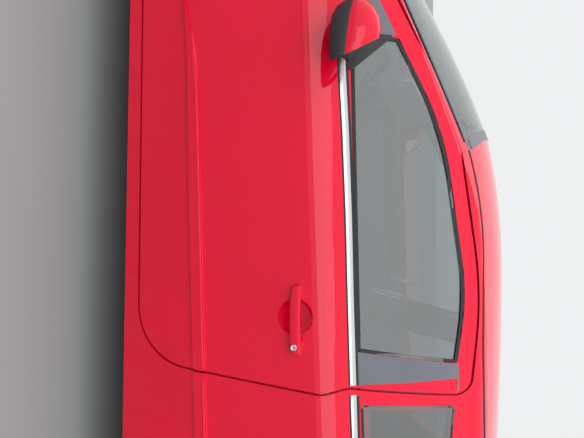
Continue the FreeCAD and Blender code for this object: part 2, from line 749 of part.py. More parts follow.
# Left door
HANDLE_X = (284.0, 496.0)
HANDLE_Z = (784.0, 813.0)
BOWL_CENTRE = (381.0, 795.0)
BOWL_RADIUS = 50.0
BOWL_BALL = 75.0
moulding = width_solid(-MOULDING_PROUD, -MOULDING_PROUD).common(prism("y", MOULDING_OUTLINE, *LEFT))
moulding = moulding.cut(skin_core)
door_skin = outer.common(door_zone).cut(skin_core)
door_core = outer.common(prism("y", inset(DOOR_OUTLINE, DOOR_BOX_INSETS), *LEFT)).cut(inner)
door = door_skin.fuse([door_core, moulding.common(door_zone)])
door = door.cut(prism("y", DOOR_WINDOW, *LEFT))
skin_y = -876.0
bowl_middle = skin_y - math.sqrt(BOWL_BALL ** 2 - BOWL_RADIUS ** 2)
door = door.cut(Part.makeSphere(BOWL_BALL, V(BOWL_CENTRE[0], bowl_middle, BOWL_CENTRE[1])))
grip = prism("z", [
    (HANDLE_X[0], -866, 0),
    (HANDLE_X[0] + 4, -892, 12),
    (HANDLE_X[0] + 30, -908, 40),
    (HANDLE_X[1] - 30, -908, 40),
    (HANDLE_X[1] - 4, -892, 12),
    (HANDLE_X[1], -866, 0),
], *HANDLE_Z)
finger_gap = box(HANDLE_X[0] + 34, HANDLE_X[1] - 60, -895, -840, 700, 900)
for z in HINGE_HEIGHTS:
    door = door.cut(hinge_notch(z))
door = save("door_left", door)
save("door_right", mirrored(door))
handle = save("door_handle_left", grip.cut(finger_gap).cut(outer))
save("door_handle_right", mirrored(handle))

pane = width_solid(GLASS_RECESS, GLASS_RECESS).cut(width_solid(GLASS_RECESS + GLASS, GLASS_RECESS + GLASS))
door_glass = save("door_glass_left", pane.common(prism("y", inset(DOOR_WINDOW, SEAT_GAP), *LEFT)))
save("door_glass_right", mirrored(door_glass))

# Door mirror: a shell on a foot at the front corner of the window
MIRROR_X = (-514.0, -372.0)
MIRROR_OUTLINE = [
    (-858, 934, 40),
    (-1002, 926, 50),
    (-1016, 1000, 60),
    (-975, 1066, 55),
    (-868, 1062, 50),
]
mirror_head = prism("x", MIRROR_OUTLINE, *MIRROR_X)
mirror_plan = prism("z", [
    (MIRROR_X[1], -850, 4),
    (MIRROR_X[1] + 2, -1016, 12),
    (MIRROR_X[0] + 50, -1020, 70),
    (MIRROR_X[0], -930, 60),
    (MIRROR_X[0] + 20, -850, 20),
], 850, 1100)
mirror_head = mirror_head.common(mirror_plan)
mirror_head = mirror_head.cut(prism("x", inset(MIRROR_OUTLINE, 10), MIRROR_X[1] - 12, MIRROR_X[1] + 10))
mirror_foot = prism("y", [(-470, 930, 6), (-400, 930, 6), (-412, 968, 10), (-462, 968, 10)], -880, -812)
mirror_left = mirror_head.fuse(mirror_foot.cut(width_solid(0, 0)).common(box(-600, -300, -900, -700, 800, 1100)))
mirror_left = mirror_left.cut(door_skin).cut(door_glass)
mirror_left = save("mirror_left", mirror_left)
save("mirror_right", mirrored(mirror_left))

# Left body side: sill, pillars, rail and rear quarter
side = shell.common(box(-1000, 2200, -960, -440, SILL_Z + 1, SKY))
side = side.cut(roof_zone).cut(scuttle_box).cut(bonnet_gap).cut(tailgate_gap)
side = side.cut(rear_bumper_gap).cut(rear_arches).cut(front_arches).cut(lamp_zone)
side = side.cut(box(-1000, -880, -960, 0, 100, 960))
side = side.cut(wing_zone.common(box(-1000, DOOR_FRONT_X - SHUT_GAP + 1, -960, 0, 100, SKY)).cut(wing_core))
side = side.cut(prism("y", outset(DOOR_OUTLINE, SHUT_GAP), *LEFT).cut(rebate_core))
side = side.cut(prism("y", inset(DOOR_OUTLINE, DOOR_HOLE_INSETS), *LEFT))
pocket = box(DOOR_FRONT_X - 20, HINGE_X + 25, -960, HINGE_Y + HINGE_ARM_REACH, 200, 1100)
corner_pocket = box(DOOR_FRONT_X - 20, DOOR_FRONT_X + 85, -960, -735, 985, 1100)
side = side.cut(pocket.fuse(corner_pocket).common(prism("y", outset(DOOR_OUTLINE, SHUT_GAP), *LEFT)))
side = max(side.Solids, key=lambda solid: solid.Volume)
quarter_hole = prism("y", inset(QUARTER_WINDOW, 14), *LEFT)
quarter_core = width_solid(GLASS + SEAT_GAP, GLASS + SEAT_GAP)
side = side.cut(quarter_hole).cut(prism("y", outset(QUARTER_WINDOW, SEAT_GAP), *LEFT).cut(quarter_core))
rear_moulding = moulding.cut(prism("y", outset(DOOR_OUTLINE, SHUT_GAP), *LEFT)).common(box(500, 1000, *LEFT, 300, 600))
side = side.fuse([rear_moulding] + [hinge_arm(z) for z in HINGE_HEIGHTS])
side = save("body_side_left", side)
save("body_side_right", mirrored(side))
quarter_glass = outer.common(prism("y", QUARTER_WINDOW, *LEFT)).cut(width_solid(GLASS, GLASS))
save("quarter_glass", Part.makeCompound([quarter_glass.Solids[0], mirrored(quarter_glass).Solids[0]]))

# Floor with its tunnel, rear wheelhouses and boot floor
low_inner = inner.common(box(-2200, 2200, -960, 960, 100, 1100))
floor_top = FLOOR_Z + FLOOR_THICKNESS
boot_top = BOOT_FLOOR_Z + FLOOR_THICKNESS
tunnel = [(-TUNNEL_HALF_WIDTH, FLOOR_Z, 0), (-TUNNEL_HALF_WIDTH + 45, TUNNEL_TOP_Z, 30),
          (TUNNEL_HALF_WIDTH - 45, TUNNEL_TOP_Z, 30), (TUNNEL_HALF_WIDTH, FLOOR_Z, 0)]
tunnel_hollow = [(-TUNNEL_HALF_WIDTH + 14, FLOOR_Z - 5, 0), (-TUNNEL_HALF_WIDTH + 57, TUNNEL_TOP_Z - 12, 20),
                 (TUNNEL_HALF_WIDTH - 57, TUNNEL_TOP_Z - 12, 20), (TUNNEL_HALF_WIDTH - 14, FLOOR_Z - 5, 0)]
floor = united([
    box(BULKHEAD_X, SEAT_WELL_X, -900, 900, FLOOR_Z, floor_top),
    box(SEAT_WELL_X - 22, SEAT_WELL_X, -900, 900, FLOOR_Z, boot_top),
    box(SEAT_WELL_X - 22, 2200, -900, 900, BOOT_FLOOR_Z, boot_top),
    prism("x", tunnel, BULKHEAD_X + BULKHEAD_THICKNESS, SEAT_WELL_X),
    cylinder("z", (1780, 0), 300, 280, BOOT_FLOOR_Z + 5),
])
tunnel_room = prism("x", tunnel_hollow, BULKHEAD_X - 5, SEAT_WELL_X + 5)
floor = floor.cut(tunnel_room)
floor = floor.cut(cylinder("z", (1780, 0), 285, 295, 500))
house = cylinder("y", (REAR_AXLE_X, TYRE_RADIUS), ARCH_RADIUS + 10, -900, -REAR_ARCH_INNER_Y + 10)
house = house.common(box(900, 1900, -900, 0, BOOT_FLOOR_Z, 900))
floor = floor.fuse([house, mirrored(house)]).cut(rear_arches).cut(front_arches)
save("floor_pan", floor.common(low_inner))

# Front structure: bulkhead, rails, wheelhouses, strut towers and lamp panel
STRUT_TOP = (-1225.0, -575.0, 862.0)
BALL_JOINT = (-1250.0, -690.0, 205.0)
TOWER_RADIUS = 88.0
bulkhead = box(BULKHEAD_X, BULKHEAD_X + BULKHEAD_THICKNESS, -900, 900, floor_top, 950)
front_parts = [bulkhead]
for sign in (-1, 1):
    ys = sorted((sign * 372, sign * 432))
    front_parts.append(box(NOSE_X, BULKHEAD_X, ys[0], ys[1], 380, 480))
    ys = sorted((sign * 436, sign * 446))
    front_parts.append(box(-1620, BULKHEAD_X, ys[0], ys[1], 380, 800))
lamp_panel = box(NOSE_X, -1950, -900, 900, 592, 700).fuse(box(NOSE_X, -1950, -432, 432, 440, 600))
front_parts.append(lamp_panel)
front_house = cylinder("y", (FRONT_AXLE_X, TYRE_RADIUS), ARCH_RADIUS + 10, -900, -ARCH_INNER_Y + 10)
front_house = front_house.common(box(-1700, BULKHEAD_X, -900, 0, 440, 800))
tower = cylinder("z", STRUT_TOP[:2], TOWER_RADIUS + 10, 600, STRUT_TOP[2] + 10)
tower_hollow = cylinder("z", STRUT_TOP[:2], TOWER_RADIUS, 500, STRUT_TOP[2] + 1)
for part in (front_house, tower):
    front_parts += [part, mirrored(part)]
front = front_parts[0].fuse(front_parts[1:])
front = front.cut(front_arches).cut(tower_hollow).cut(mirrored(tower_hollow)).cut(tunnel_room)
front = front.common(low_inner).cut(box(-1890, -1690, -900, 900, 500, 900))
front = front.cut(plate_holes(NOSE_X, NOSE_X + SCREW_REACH, FRONT_PLATE_Z, SCREW_ROOM_RADIUS))
front = front.fuse([bonnet_bracket(y) for y in (-BONNET_HINGE_Y, BONNET_HINGE_Y)]).cut(scuttle)
save("front_structure", front)

# Engine and gearbox as one block across the nose
ENGINE_BASE_Z = 290.0
ENGINE_REAR_X = -1250.0
engine = united([
    box(-1660, ENGINE_REAR_X, -320, 330, ENGINE_BASE_Z, 720),
    box(-1600, -1300, 320, 371.7, 400, 460),
    box(-1600, -1300, -371.7, -310, 400, 460),
])
save("engine_block", engine)

# Front subframe with the lower arms
arm_pin_radius = 8.0
ARM_END_RADIUS = 18.0
subframe_parts = [box(-1420, -1080, -340, 340, 205, 245)]
for sign in (-1, 1):
    x, y, z = BALL_JOINT
    end_y = sign * (abs(y) + ARM_END_RADIUS)
    arm = prism("z", [(-1400, sign * 330, 0), (-1100, sign * 330, 0),
                      (x + ARM_END_RADIUS, end_y, ARM_END_RADIUS - 1),
                      (x - ARM_END_RADIUS, end_y, ARM_END_RADIUS - 1)], 205, 230)
    subframe_parts.append(arm)
    ys = sorted((sign * 260, sign * 310))
    subframe_parts.append(box(-1400, -1340, ys[0], ys[1], 240, ENGINE_BASE_Z))
subframe = subframe_parts[0].fuse(subframe_parts[1:])
for sign in (-1, 1):
    x, y, z = BALL_JOINT
    bore_start = V(x, -sign * y, z)
    top = V(STRUT_TOP[0], -sign * STRUT_TOP[1], STRUT_TOP[2])
    way = (top - bore_start).normalize()
    subframe = subframe.cut(Part.makeCylinder(arm_pin_radius + PIN_CLEARANCE, 120, bore_start - way * 40, way))
save("front_subframe", subframe)

# Steering knuckle with its strut, left
STUB_RADIUS = 18.0
STUB_END = 26.0
wheel_centre = (FRONT_AXLE_X, -WHEEL_Y, TYRE_RADIUS)
axis_low, axis_top = V(*BALL_JOINT), V(*STRUT_TOP)
axis_way = (axis_top - axis_low).normalize()
carrier = cylinder("y", (FRONT_AXLE_X, TYRE_RADIUS), 52, -WHEEL_Y + 54, -640)
stub = cylinder("y", (FRONT_AXLE_X, TYRE_RADIUS), STUB_RADIUS, -WHEEL_Y - STUB_END, -650)
strut_foot = (-1236.0, -602.0, 400.0)
knuckle = united([
    carrier, stub,
    bar((FRONT_AXLE_X, -655, TYRE_RADIUS), (-1237, -604, 430), 22),
    bar((FRONT_AXLE_X, -664, TYRE_RADIUS - 20), tuple(axis_low + axis_way * 36), 18),
    bar(tuple(axis_low + axis_way * 60), tuple(axis_low + axis_way * 4), arm_pin_radius),
    bar((FRONT_AXLE_X, -652, TYRE_RADIUS - 10), (FRONT_AXLE_X + 135, -650, TYRE_RADIUS - 20), 13),
    bar(strut_foot, tuple(axis_top - V(0, 0, 150)), 24),
    bar(tuple(axis_top - V(0, 0, 160)), tuple(axis_top - V(0, 0, 14)), 11),
    Part.makeSphere(13, axis_top - V(0, 0, 13.5)),
    bar(tuple(axis_top - V(0, 0, 205)), tuple(axis_top - V(0, 0, 20)), 56),
])
knuckle = save("knuckle_left", knuckle)
save("knuckle_right", mirrored(knuckle))

# Rear axle: trailing arms, twist beam, stub axles, springs
rear_parts = [box(1060, 1130, -560, 560, 262, 322)]
for sign in (-1, 1):
    rear_parts.append(bar((960, sign * 560, 300), (REAR_AXLE_X, sign * 590, TYRE_RADIUS), 26))
    rear_parts.append(bar((REAR_AXLE_X, sign * 575, TYRE_RADIUS), (REAR_AXLE_X, sign * (WHEEL_Y - 54), TYRE_RADIUS), 48))
    rear_parts.append(bar((REAR_AXLE_X, sign * 600, TYRE_RADIUS),
                          (REAR_AXLE_X, sign * (WHEEL_Y + STUB_END), TYRE_RADIUS), STUB_RADIUS))
    rear_parts.append(box(1180, 1340, *sorted((sign * 430, sign * 580)), 270, 300))
    rear_parts.append(cylinder("z", (1250, sign * 500), 50, 290, BOOT_FLOOR_Z))
    rear_parts.append(box(950, 990, *sorted((sign * 520, sign * 600)), 280, BOOT_FLOOR_Z))
save("rear_axle", united(rear_parts))

# Exhaust and fuel tank
EXHAUST_Y = 30.0
EXHAUST_BEND = 80.0
SILENCER = [(1500, 195, 28), (1900, 195, 28), (1900, 262, 28), (1500, 262, 28)]
exhaust_run = pipe([
    (ENGINE_REAR_X + SEAT_GAP, EXHAUST_Y, 330), (-1100, EXHAUST_Y, 330), (-880, EXHAUST_Y, 252),
    (960, EXHAUST_Y, 240), (1420, 400, 228), (1560, 400, 228),
], 24, EXHAUST_BEND)
save("exhaust", united([
    exhaust_run,
    cylinder("x", (EXHAUST_Y, 250), 48, -200, 250),
    prism("y", SILENCER, 320, 590),
    pipe([(1860, 450, 222), (2090, 450, 218)], 22, EXHAUST_BEND),
    box(1690, 1710, 440, 460, 255, BOOT_FLOOR_Z),
]))
save("fuel_tank", prism("y", [(695, 228, 30), (930, 228, 30), (930, BOOT_FLOOR_Z - SEAT_GAP, 20),
                              (695, BOOT_FLOOR_Z - SEAT_GAP, 20)], -560, -40))

# Wheels
BEAD = 226.0
RIM_HALF = RIM_WIDTH / 2
BEAD_SEAT = RIM_HALF - 9
# Sections of the rim and the tyre: distance outboard, radius, corner radius
RIM_PROFILE = [
    (-RIM_HALF, BEAD, 0), (-BEAD_SEAT, RIM_RADIUS, 0), (BEAD_SEAT, RIM_RADIUS, 0), (RIM_HALF, BEAD, 0),
    (RIM_HALF - 14, RIM_RADIUS - RIM_WALL, 0), (14 - RIM_HALF, RIM_RADIUS - RIM_WALL, 0),
]
TREAD_HALF = TYRE_WIDTH / 2 - 20
TYRE_PROFILE = [
    (-BEAD_SEAT + SEAT_GAP, RIM_RADIUS + SEAT_GAP, 0), (BEAD_SEAT - SEAT_GAP, RIM_RADIUS + SEAT_GAP, 0),
    (TYRE_WIDTH / 2, 250, 0), (TYRE_WIDTH / 2, 288, 0), (TREAD_HALF, TYRE_RADIUS, 0),
    (-TREAD_HALF, TYRE_RADIUS, 0), (-TYRE_WIDTH / 2, 288, 0), (-TYRE_WIDTH / 2, 250, 0),
]


def turned(profile, centre):
    """A ring about the wheel's axle; the profile gives distance outboard and radius."""
    cx, cy, cz = centre
    side_sign = -1 if cy < 0 else 1
    points = [(cy + side_sign * s, cz + r, radius) for s, r, radius in profile]
    face = Part.Face(rounded_wire("x", cx, points))
    return face.revolve(V(cx, cy, cz), V(0, 1, 0), 360)


def along_axle(centre, start, end, radius):
    cx, cy, cz = centre
    side_sign = -1 if cy < 0 else 1
    low, high = sorted((cy + side_sign * start, cy + side_sign * end))
    return cylinder("y", (cx, cz), radius, low, high)


def wheel(name, centre):
    cx, cy, cz = centre
    side_sign = -1 if cy < 0 else 1
    rim = turned(RIM_PROFILE, centre)
    pieces = [along_axle(centre, -53.7, 34, 40), along_axle(centre, 30, 74, 74), along_axle(centre, -27, -5, 145)]
    ys = sorted((cy + side_sign * 52, cy + side_sign * 84))
    for i in range(SPOKE_COUNT):
        turn = math.radians(90 + 360.0 / SPOKE_COUNT * i)
        ux, uz = math.cos(turn), math.sin(turn)
        corners = []
        for r, w in ((40, -34), (RIM_RADIUS - 5, -24), (RIM_RADIUS - 5, 24), (40, 34)):
            corners.append((cx + ux * r - uz * w, cz + uz * r + ux * w, 0))
        pieces.append(prism("y", corners, *ys))
    rim = rim.fuse(pieces)
    rim = rim.cut(along_axle(centre, -60, STUB_END + PIN_CLEARANCE, STUB_RADIUS + PIN_CLEARANCE))
    save("rim_" + name, rim)
    save("tyre_" + name, turned(TYRE_PROFILE, centre))


for end, axle_x in (("front", FRONT_AXLE_X), ("rear", REAR_AXLE_X)):
    for hand, sign in (("left", -1), ("right", 1)):
        wheel(end + "_" + hand, (axle_x, sign * WHEEL_Y, TYRE_RADIUS))

# Cabin
dashboard = prism("y", [
    (-891, 640, 0), (-891, 900, 20), (-800, 968, 60), (-640, 965, 60), (-560, 905, 40),
    (-560, 780, 40), (-640, 600, 60), (-800, 560, 40),
], -760, 760)
dashboard = dashboard.cut(box(-765, 0, -900, -700, 500, 1000)).cut(box(-765, 0, 700, 900, 500, 1000))
save("dashboard", dashboard.common(low_inner))

STEER_CENTRE = V(-470, -360, 850)
STEER_TILT = 27.0
STEER_RADIUS = 180.0
way = V(-math.cos(math.radians(STEER_TILT)), 0, -math.sin(math.radians(STEER_TILT)))
ring = Part.makeTorus(STEER_RADIUS, 15, STEER_CENTRE, way)
column = Part.makeCylinder(32, 95, STEER_CENTRE, way)
hub = Part.makeCylinder(62, 45, STEER_CENTRE - way * 12, way)
spokes = [
    bar(STEER_CENTRE, STEER_CENTRE + V(0, STEER_RADIUS, 0), 12),
    bar(STEER_CENTRE, STEER_CENTRE + V(0, -STEER_RADIUS, 0), 12),
]
save("steering_wheel", ring.fuse([column, hub] + spokes).cut(dashboard))

SEAT_Y = 360.0
SEAT_WIDTH = 500.0
SEAT_BACK_TOP_Z = 985.0
HEADREST_WIDTH = 270.0
seat = prism("y", [
    (-330, 330, 40), (-345, 470, 60), (100, 440, 40), (180, 640, 300), (290, 1010, 60),
    (330, 1160, 30), (420, 1150, 30), (390, 1000, 60), (300, 560, 200), (230, 330, 60),
], -SEAT_Y - SEAT_WIDTH / 2, -SEAT_Y + SEAT_WIDTH / 2)
for edge in (-1, 1):
    ys = sorted((-SEAT_Y + edge * HEADREST_WIDTH / 2, -SEAT_Y + edge * SEAT_WIDTH))
    seat = seat.cut(box(200, 500, *ys, SEAT_BACK_TOP_Z, 1200))
rail_bar = box(-290, 190, -SEAT_Y - 200, -SEAT_Y + 200, floor_top, 335)
seat = seat.fuse(rail_bar)
save("front_seats", Part.makeCompound([seat.Solids[0], mirrored(seat).Solids[0]]))
rear_seat = prism("y", [
    (600, boot_top, 10), (590, 540, 50), (1010, 510, 30), (1130, 960, 50), (1230, 950, 30), (1150, boot_top, 0),
], -590, 590)
save("rear_seat", rear_seat)
save("parcel_shelf", box(1225.5, 1700, -900, 900, 962, 980).common(inner))
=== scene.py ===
# %% [markdown]
# # A three-door hatchback, dressed for its photograph
# The car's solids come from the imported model: panels, panes, wheels, seats and
# what carries them, each a node with its own name. This notebook gives every
# node its finish and adds what a model of plain solids lacks: seals, bright
# strips, tread, padded seats and the small fittings. Units are metres. X runs
# from the nose to the tail, Y to the car's right, Z up from the ground.

# %% Load the fixed frame
import json
import math
import bmesh
import bpy
from mathutils import Matrix, Vector
from mathutils.bvhtree import BVHTree

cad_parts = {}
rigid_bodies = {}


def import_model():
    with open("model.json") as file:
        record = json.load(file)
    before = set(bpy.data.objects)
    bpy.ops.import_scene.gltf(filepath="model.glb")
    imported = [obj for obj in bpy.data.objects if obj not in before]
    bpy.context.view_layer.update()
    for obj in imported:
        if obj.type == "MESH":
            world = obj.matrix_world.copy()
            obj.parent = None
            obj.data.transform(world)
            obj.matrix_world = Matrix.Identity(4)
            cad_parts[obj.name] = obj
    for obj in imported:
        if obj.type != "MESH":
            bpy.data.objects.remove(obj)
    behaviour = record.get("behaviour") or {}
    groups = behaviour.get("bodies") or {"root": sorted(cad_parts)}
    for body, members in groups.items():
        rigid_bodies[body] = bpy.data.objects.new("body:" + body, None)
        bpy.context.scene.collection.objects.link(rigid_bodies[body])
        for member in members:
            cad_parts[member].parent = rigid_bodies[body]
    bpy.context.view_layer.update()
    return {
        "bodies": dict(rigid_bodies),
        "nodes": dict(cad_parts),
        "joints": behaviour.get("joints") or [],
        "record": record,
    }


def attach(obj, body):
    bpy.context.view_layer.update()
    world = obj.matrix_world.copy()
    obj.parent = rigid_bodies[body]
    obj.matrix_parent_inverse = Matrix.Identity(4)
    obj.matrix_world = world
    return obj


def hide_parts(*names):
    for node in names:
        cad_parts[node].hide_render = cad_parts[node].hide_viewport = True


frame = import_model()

NODES = frame["nodes"]

# %% [markdown]
# ## Camera
# The photograph was taken from beside the driver's door, with the telephone
# turned on its side: the picture's right is the world's up. The view was found
# from the sizes on the car, as a place, a pitch, a small yaw and a focal length
# in pixels. Building the camera's three axes from those angles is clearer than
# stacking Euler turns, because the quarter turn is only a matter of which
# vector is called the picture's right.

# %% Camera
PICTURE_WIDTH = 584
FOCAL_PIXELS = 600
SENSOR = 36.0
CAMERA_PLACE = Vector((0.147, -2.620, 1.262))
CAMERA_PITCH = math.radians(15.42)
CAMERA_YAW = math.radians(-1.94)

level = Vector((math.sin(CAMERA_YAW), math.cos(CAMERA_YAW), 0))
sky = Vector((0, 0, 1))
rearward = Vector((math.cos(CAMERA_YAW), -math.sin(CAMERA_YAW), 0))
gaze = level * math.cos(CAMERA_PITCH) - sky * math.sin(CAMERA_PITCH)
upward = sky * math.cos(CAMERA_PITCH) + level * math.sin(CAMERA_PITCH)

camera_data = bpy.data.cameras.new("camera")
camera_data.sensor_width = SENSOR
camera_data.lens = SENSOR * FOCAL_PIXELS / PICTURE_WIDTH
camera = bpy.data.objects.new("camera", camera_data)
bpy.context.scene.collection.objects.link(camera)
axes = Matrix((upward, -rearward, -gaze)).transposed().to_4x4()
camera.matrix_world = Matrix.Translation(CAMERA_PLACE) @ axes
bpy.context.scene.camera = camera
print("camera lens %.2f mm" % camera_data.lens)

# %% [markdown]
# ## Shader maths
# A finish is easier to read as arithmetic than as a list of links. The class
# `Field` wraps one output socket, and Python's operators on it add Math nodes,
# so `1 - wear * 0.4` is a chain of nodes. Colours never pass through it: a Math
# node would turn them grey. `Nodes` makes every other node through one method, and
# `Finish` adds what the materials share.

# %% Shader maths
class Field:
    """A number that varies over a surface."""

    def __init__(self, tree, socket):
        self.tree = tree
        self.socket = socket

    def math(self, operation, *values, clamp=False):
        node = self.tree.nodes.new("ShaderNodeMath")
        node.operation = operation
        node.use_clamp = clamp
        for place, value in zip(node.inputs, values):
            if isinstance(value, Field):
                self.tree.links.new(value.socket, place)
            else:
                place.default_value = value
        return Field(self.tree, node.outputs[0])

    def __add__(self, other):
        return self.math("ADD", self, other)

    __radd__ = __add__

    def __mul__(self, other):
        return self.math("MULTIPLY", self, other)

    __rmul__ = __mul__

    def __sub__(self, other):
        return self.math("SUBTRACT", self, other)

    def __rsub__(self, other):
        return self.math("SUBTRACT", other, self)

    def __truediv__(self, other):
        return self.math("DIVIDE", self, other)

    def above(self, edge, width=0.001):
        """0 below the edge, 1 above it, with a soft step of that width."""
        return self.math("ADD", (self - edge) / width, 0.5, clamp=True)

    def sine(self):
        return self.math("SINE", self)

    def absolute(self):
        return self.math("ABSOLUTE", self)

    def clamped(self):
        return self.math("ADD", self, 0.0, clamp=True)


class Nodes:
    """Makes the nodes of one tree, a material's or the world's."""

    def __init__(self, tree):
        self.tree = tree

    def put(self, node, label, value):
        place = node.inputs[label]
        if isinstance(value, Field):
            self.tree.links.new(value.socket, place)
        elif isinstance(value, bpy.types.NodeSocket):
            self.tree.links.new(value, place)
        elif isinstance(value, (tuple, list)) and len(value) == 3 and len(place.default_value) == 4:
            place.default_value = (*value, 1.0)
        else:
            place.default_value = value

    def node(self, kind, output=0, settings=None, **values):
        """A node's output socket. Settings come first, because they change the sockets."""
        made = self.tree.nodes.new("ShaderNode" + kind)
        for label, value in (settings or {}).items():
            if label == "stops":
                ramp = made.color_ramp.elements
                while len(ramp) < len(value):
                    ramp.new(0.5)
                for element, (position, colour) in zip(ramp, value):
                    element.position = position
                    element.color = (*colour, 1.0)
            else:
                setattr(made, label, value)
        for label, value in values.items():
            self.put(made, int(label[1:]) if label[0] == "i" and label[1:].isdigit() else label, value)
        return made.outputs[output]

    def field(self, *node, **values):
        """The same as a number to calculate with."""
        return Field(self.tree, self.node(*node, **values))


class Finish(Nodes):
    """One material: a Principled shader and the nodes that feed it."""

    def __init__(self, name, **constants):
        self.material = bpy.data.materials.new(name)
        self.material.use_nodes = True
        super().__init__(self.material.node_tree)
        self.shader = self.tree.nodes["Principled BSDF"]
        for label, value in constants.items():
            self.put(self.shader, label.replace("_", " "), value)

    def axis(self, letter, kind="Object"):
        """One coordinate of the object's own place, or of its normal."""
        return self.field("SeparateXYZ", letter, Vector=self.node("TexCoord", kind))

    def noise(self, scale, detail=3.0, stretch=(1, 1, 1)):
        place = self.node("Mapping", Vector=self.node("TexCoord", "Object"), Scale=stretch)
        return self.field("TexNoise", Vector=place, Scale=scale, Detail=detail)

    def cells(self, scale):
        return self.field("TexVoronoi", Vector=self.node("TexCoord", "Object"), Scale=scale)

    def blend(self, amount, first, second):
        """A colour between two colours."""
        return self.node("Mix", 2, {"data_type": "RGBA"}, i0=amount, i6=first, i7=second)

    def colour(self, value):
        self.put(self.shader, "Base Color", value)

    def rough(self, value):
        self.put(self.shader, "Roughness", value)

    def bump(self, height, depth, strength=1.0):
        made = self.node("Bump", Height=height, Distance=depth, Strength=strength)
        self.put(self.shader, "Normal", made)

# %% [markdown]
# ## Body paint
# The panels are a plain gloss red. The red itself hardly changes; what the eye
# reads is its reflection, so the finish keeps one red with a slight cloudiness,
# a very low roughness, a faint orange peel in the bump, and road dust that
# dulls the lowest part of the sides. The solid's shoulder is a sharp crease,
# where the real one is a soft roll, so the bump also holds two slopes that
# round it. All of it reads the object's own coordinates, so panels of different
# nodes carry on one from another.

# %% Body paint
RED = (0.72, 0.0015, 0.030)
DEEP_RED = (0.66, 0.001, 0.024)
DUST = (0.30, 0.22, 0.19)
DUST_TOP_Z = 0.34
PAINT_IOR = 1.5
GLOSS = 0.03
PEEL_DEPTH = 0.000014
# Height of the shoulder's crease along the car: factors of x, highest power first
SHOULDER_CURVE = (0.0014, -0.00287, -0.0045, 0.00228, 0.0466, 0.86891)
SHOULDER_REACH = 0.055
SHOULDER_SLOPE = 0.28
SKIN_Y = 0.825


def shoulder_roll(paint):
    """Height that rounds the crease under the waist: two slopes that meet in it."""
    x, y, z = (paint.axis(letter) for letter in "XYZ")
    crease = x * SHOULDER_CURVE[0]
    for factor in SHOULDER_CURVE[1:-1]:
        crease = (crease + factor) * x
    near = (1 - (z - (crease + SHOULDER_CURVE[-1])).absolute() / SHOULDER_REACH).clamped()
    ends = x.above(-1.25, 0.3) * (1 - x.above(1.75, 0.2)) * y.absolute().above(SKIN_Y, 0.004)
    return near * near * ends * (-SHOULDER_SLOPE * SHOULDER_REACH / 2)


def dusty_red(paint, dust_top, fade, dust, speck_edge, speck):
    """The cloudy red under its dust, and how thick the dust lies."""
    clouds = paint.noise(3.0, 2.0)
    specks = paint.noise(420.0, 2.0).above(speck_edge, 0.05)
    streaks = paint.noise(9.0, 4.0, stretch=(3.0, 1.0, 0.35)).above(0.42, 0.3)
    film = ((1 - paint.axis("Z").above(dust_top, fade)) * streaks * dust + specks * speck).clamped()
    red = paint.blend(clouds.socket, RED, DEEP_RED)
    return paint.blend(film.socket, red, DUST), film


def paint_finish(name):
    paint = Finish(name, IOR=PAINT_IOR)
    red, film = dusty_red(paint, DUST_TOP_Z, 0.26, 0.04, 0.63, 0.012)
    paint.colour(red)
    paint.rough(GLOSS + film * 0.6)
    paint.bump(paint.noise(260.0, 1.0) * PEEL_DEPTH + shoulder_roll(paint), 1.0)
    return paint.material


body_paint = paint_finish("body_paint")
print("paint nodes", len(body_paint.node_tree.nodes))

# %% [markdown]
# ## Plain plastics, rubbers and metals
# Grained plastic is a fine cell pattern in the bump with a roughness that
# wanders a little; rubber is darker and duller, with pale dust in it. One
# function makes the family, because only the grain's size, the depth and the
# two colours differ from piece to piece.

# %% Grained mouldings
def grained(name, dark, pale, rough, grain=900.0, depth=0.00012, metallic=0.0, coat=0.0):
    """A moulded or cast surface: two near colours, a fine grain and uneven gloss."""
    made = Finish(name, Metallic=metallic, Coat_Weight=coat, Coat_Roughness=0.08)
    drift = made.noise(7.0, 4.0)
    pores = made.cells(grain)
    made.colour(made.blend((drift * 0.7 + pores * 0.3).socket, dark, pale))
    made.rough((drift * 0.22 + (rough - 0.11)).clamped())
    made.bump(pores.socket, depth, 0.6)
    return made.material


black_plastic = grained("black_plastic", (0.012, 0.012, 0.013), (0.035, 0.035, 0.036), 0.55)
pillar_black = grained("pillar_black", (0.105, 0.105, 0.125), (0.150, 0.150, 0.172), 0.38, 1500.0, 0.00003)
tyre_rubber = grained("tyre_rubber", (0.010, 0.010, 0.011), (0.038, 0.037, 0.036), 0.72, 500.0)
dark_red = grained("dark_red", (0.10, 0.004, 0.005), (0.16, 0.006, 0.008), 0.35, 300.0, coat=0.4)
# Black rubber for the seals; the same finish also paints the shadow strips under the waist strip and along the
# side moulding's foot.
rubber_and_painted_shadow = grained("rubber_and_painted_shadow", (0.008, 0.008, 0.009), (0.022, 0.022, 0.024), 0.62, 700.0)
dash_skin = grained("dash_skin", (0.030, 0.031, 0.034), (0.060, 0.061, 0.066), 0.6, 380.0, 0.0003)
trim_grey = grained("trim_grey", (0.20, 0.20, 0.21), (0.30, 0.30, 0.31), 0.6, 500.0, 0.0002)
leather_black = grained("wheel_leather", (0.018, 0.018, 0.018), (0.05, 0.048, 0.046), 0.45, 260.0, 0.0004)
tank_plastic = grained("tank_plastic", (0.015, 0.015, 0.016), (0.04, 0.04, 0.04), 0.6, 200.0, 0.0004)
dark_steel = grained("dark_steel", (0.02, 0.02, 0.02), (0.10, 0.075, 0.055), 0.6, 160.0, 0.0005, 0.5)
cast_metal = grained("cast_metal", (0.16, 0.16, 0.17), (0.33, 0.32, 0.30), 0.5, 220.0, 0.0007, 0.8)
exhaust_steel = grained("exhaust_steel", (0.16, 0.12, 0.09), (0.42, 0.38, 0.33), 0.5, 60.0, 0.0004, 0.9)
stone_guard = grained("underbody", (0.02, 0.02, 0.02), (0.07, 0.065, 0.06), 0.75, 260.0, 0.0007)
print("grained finishes done")
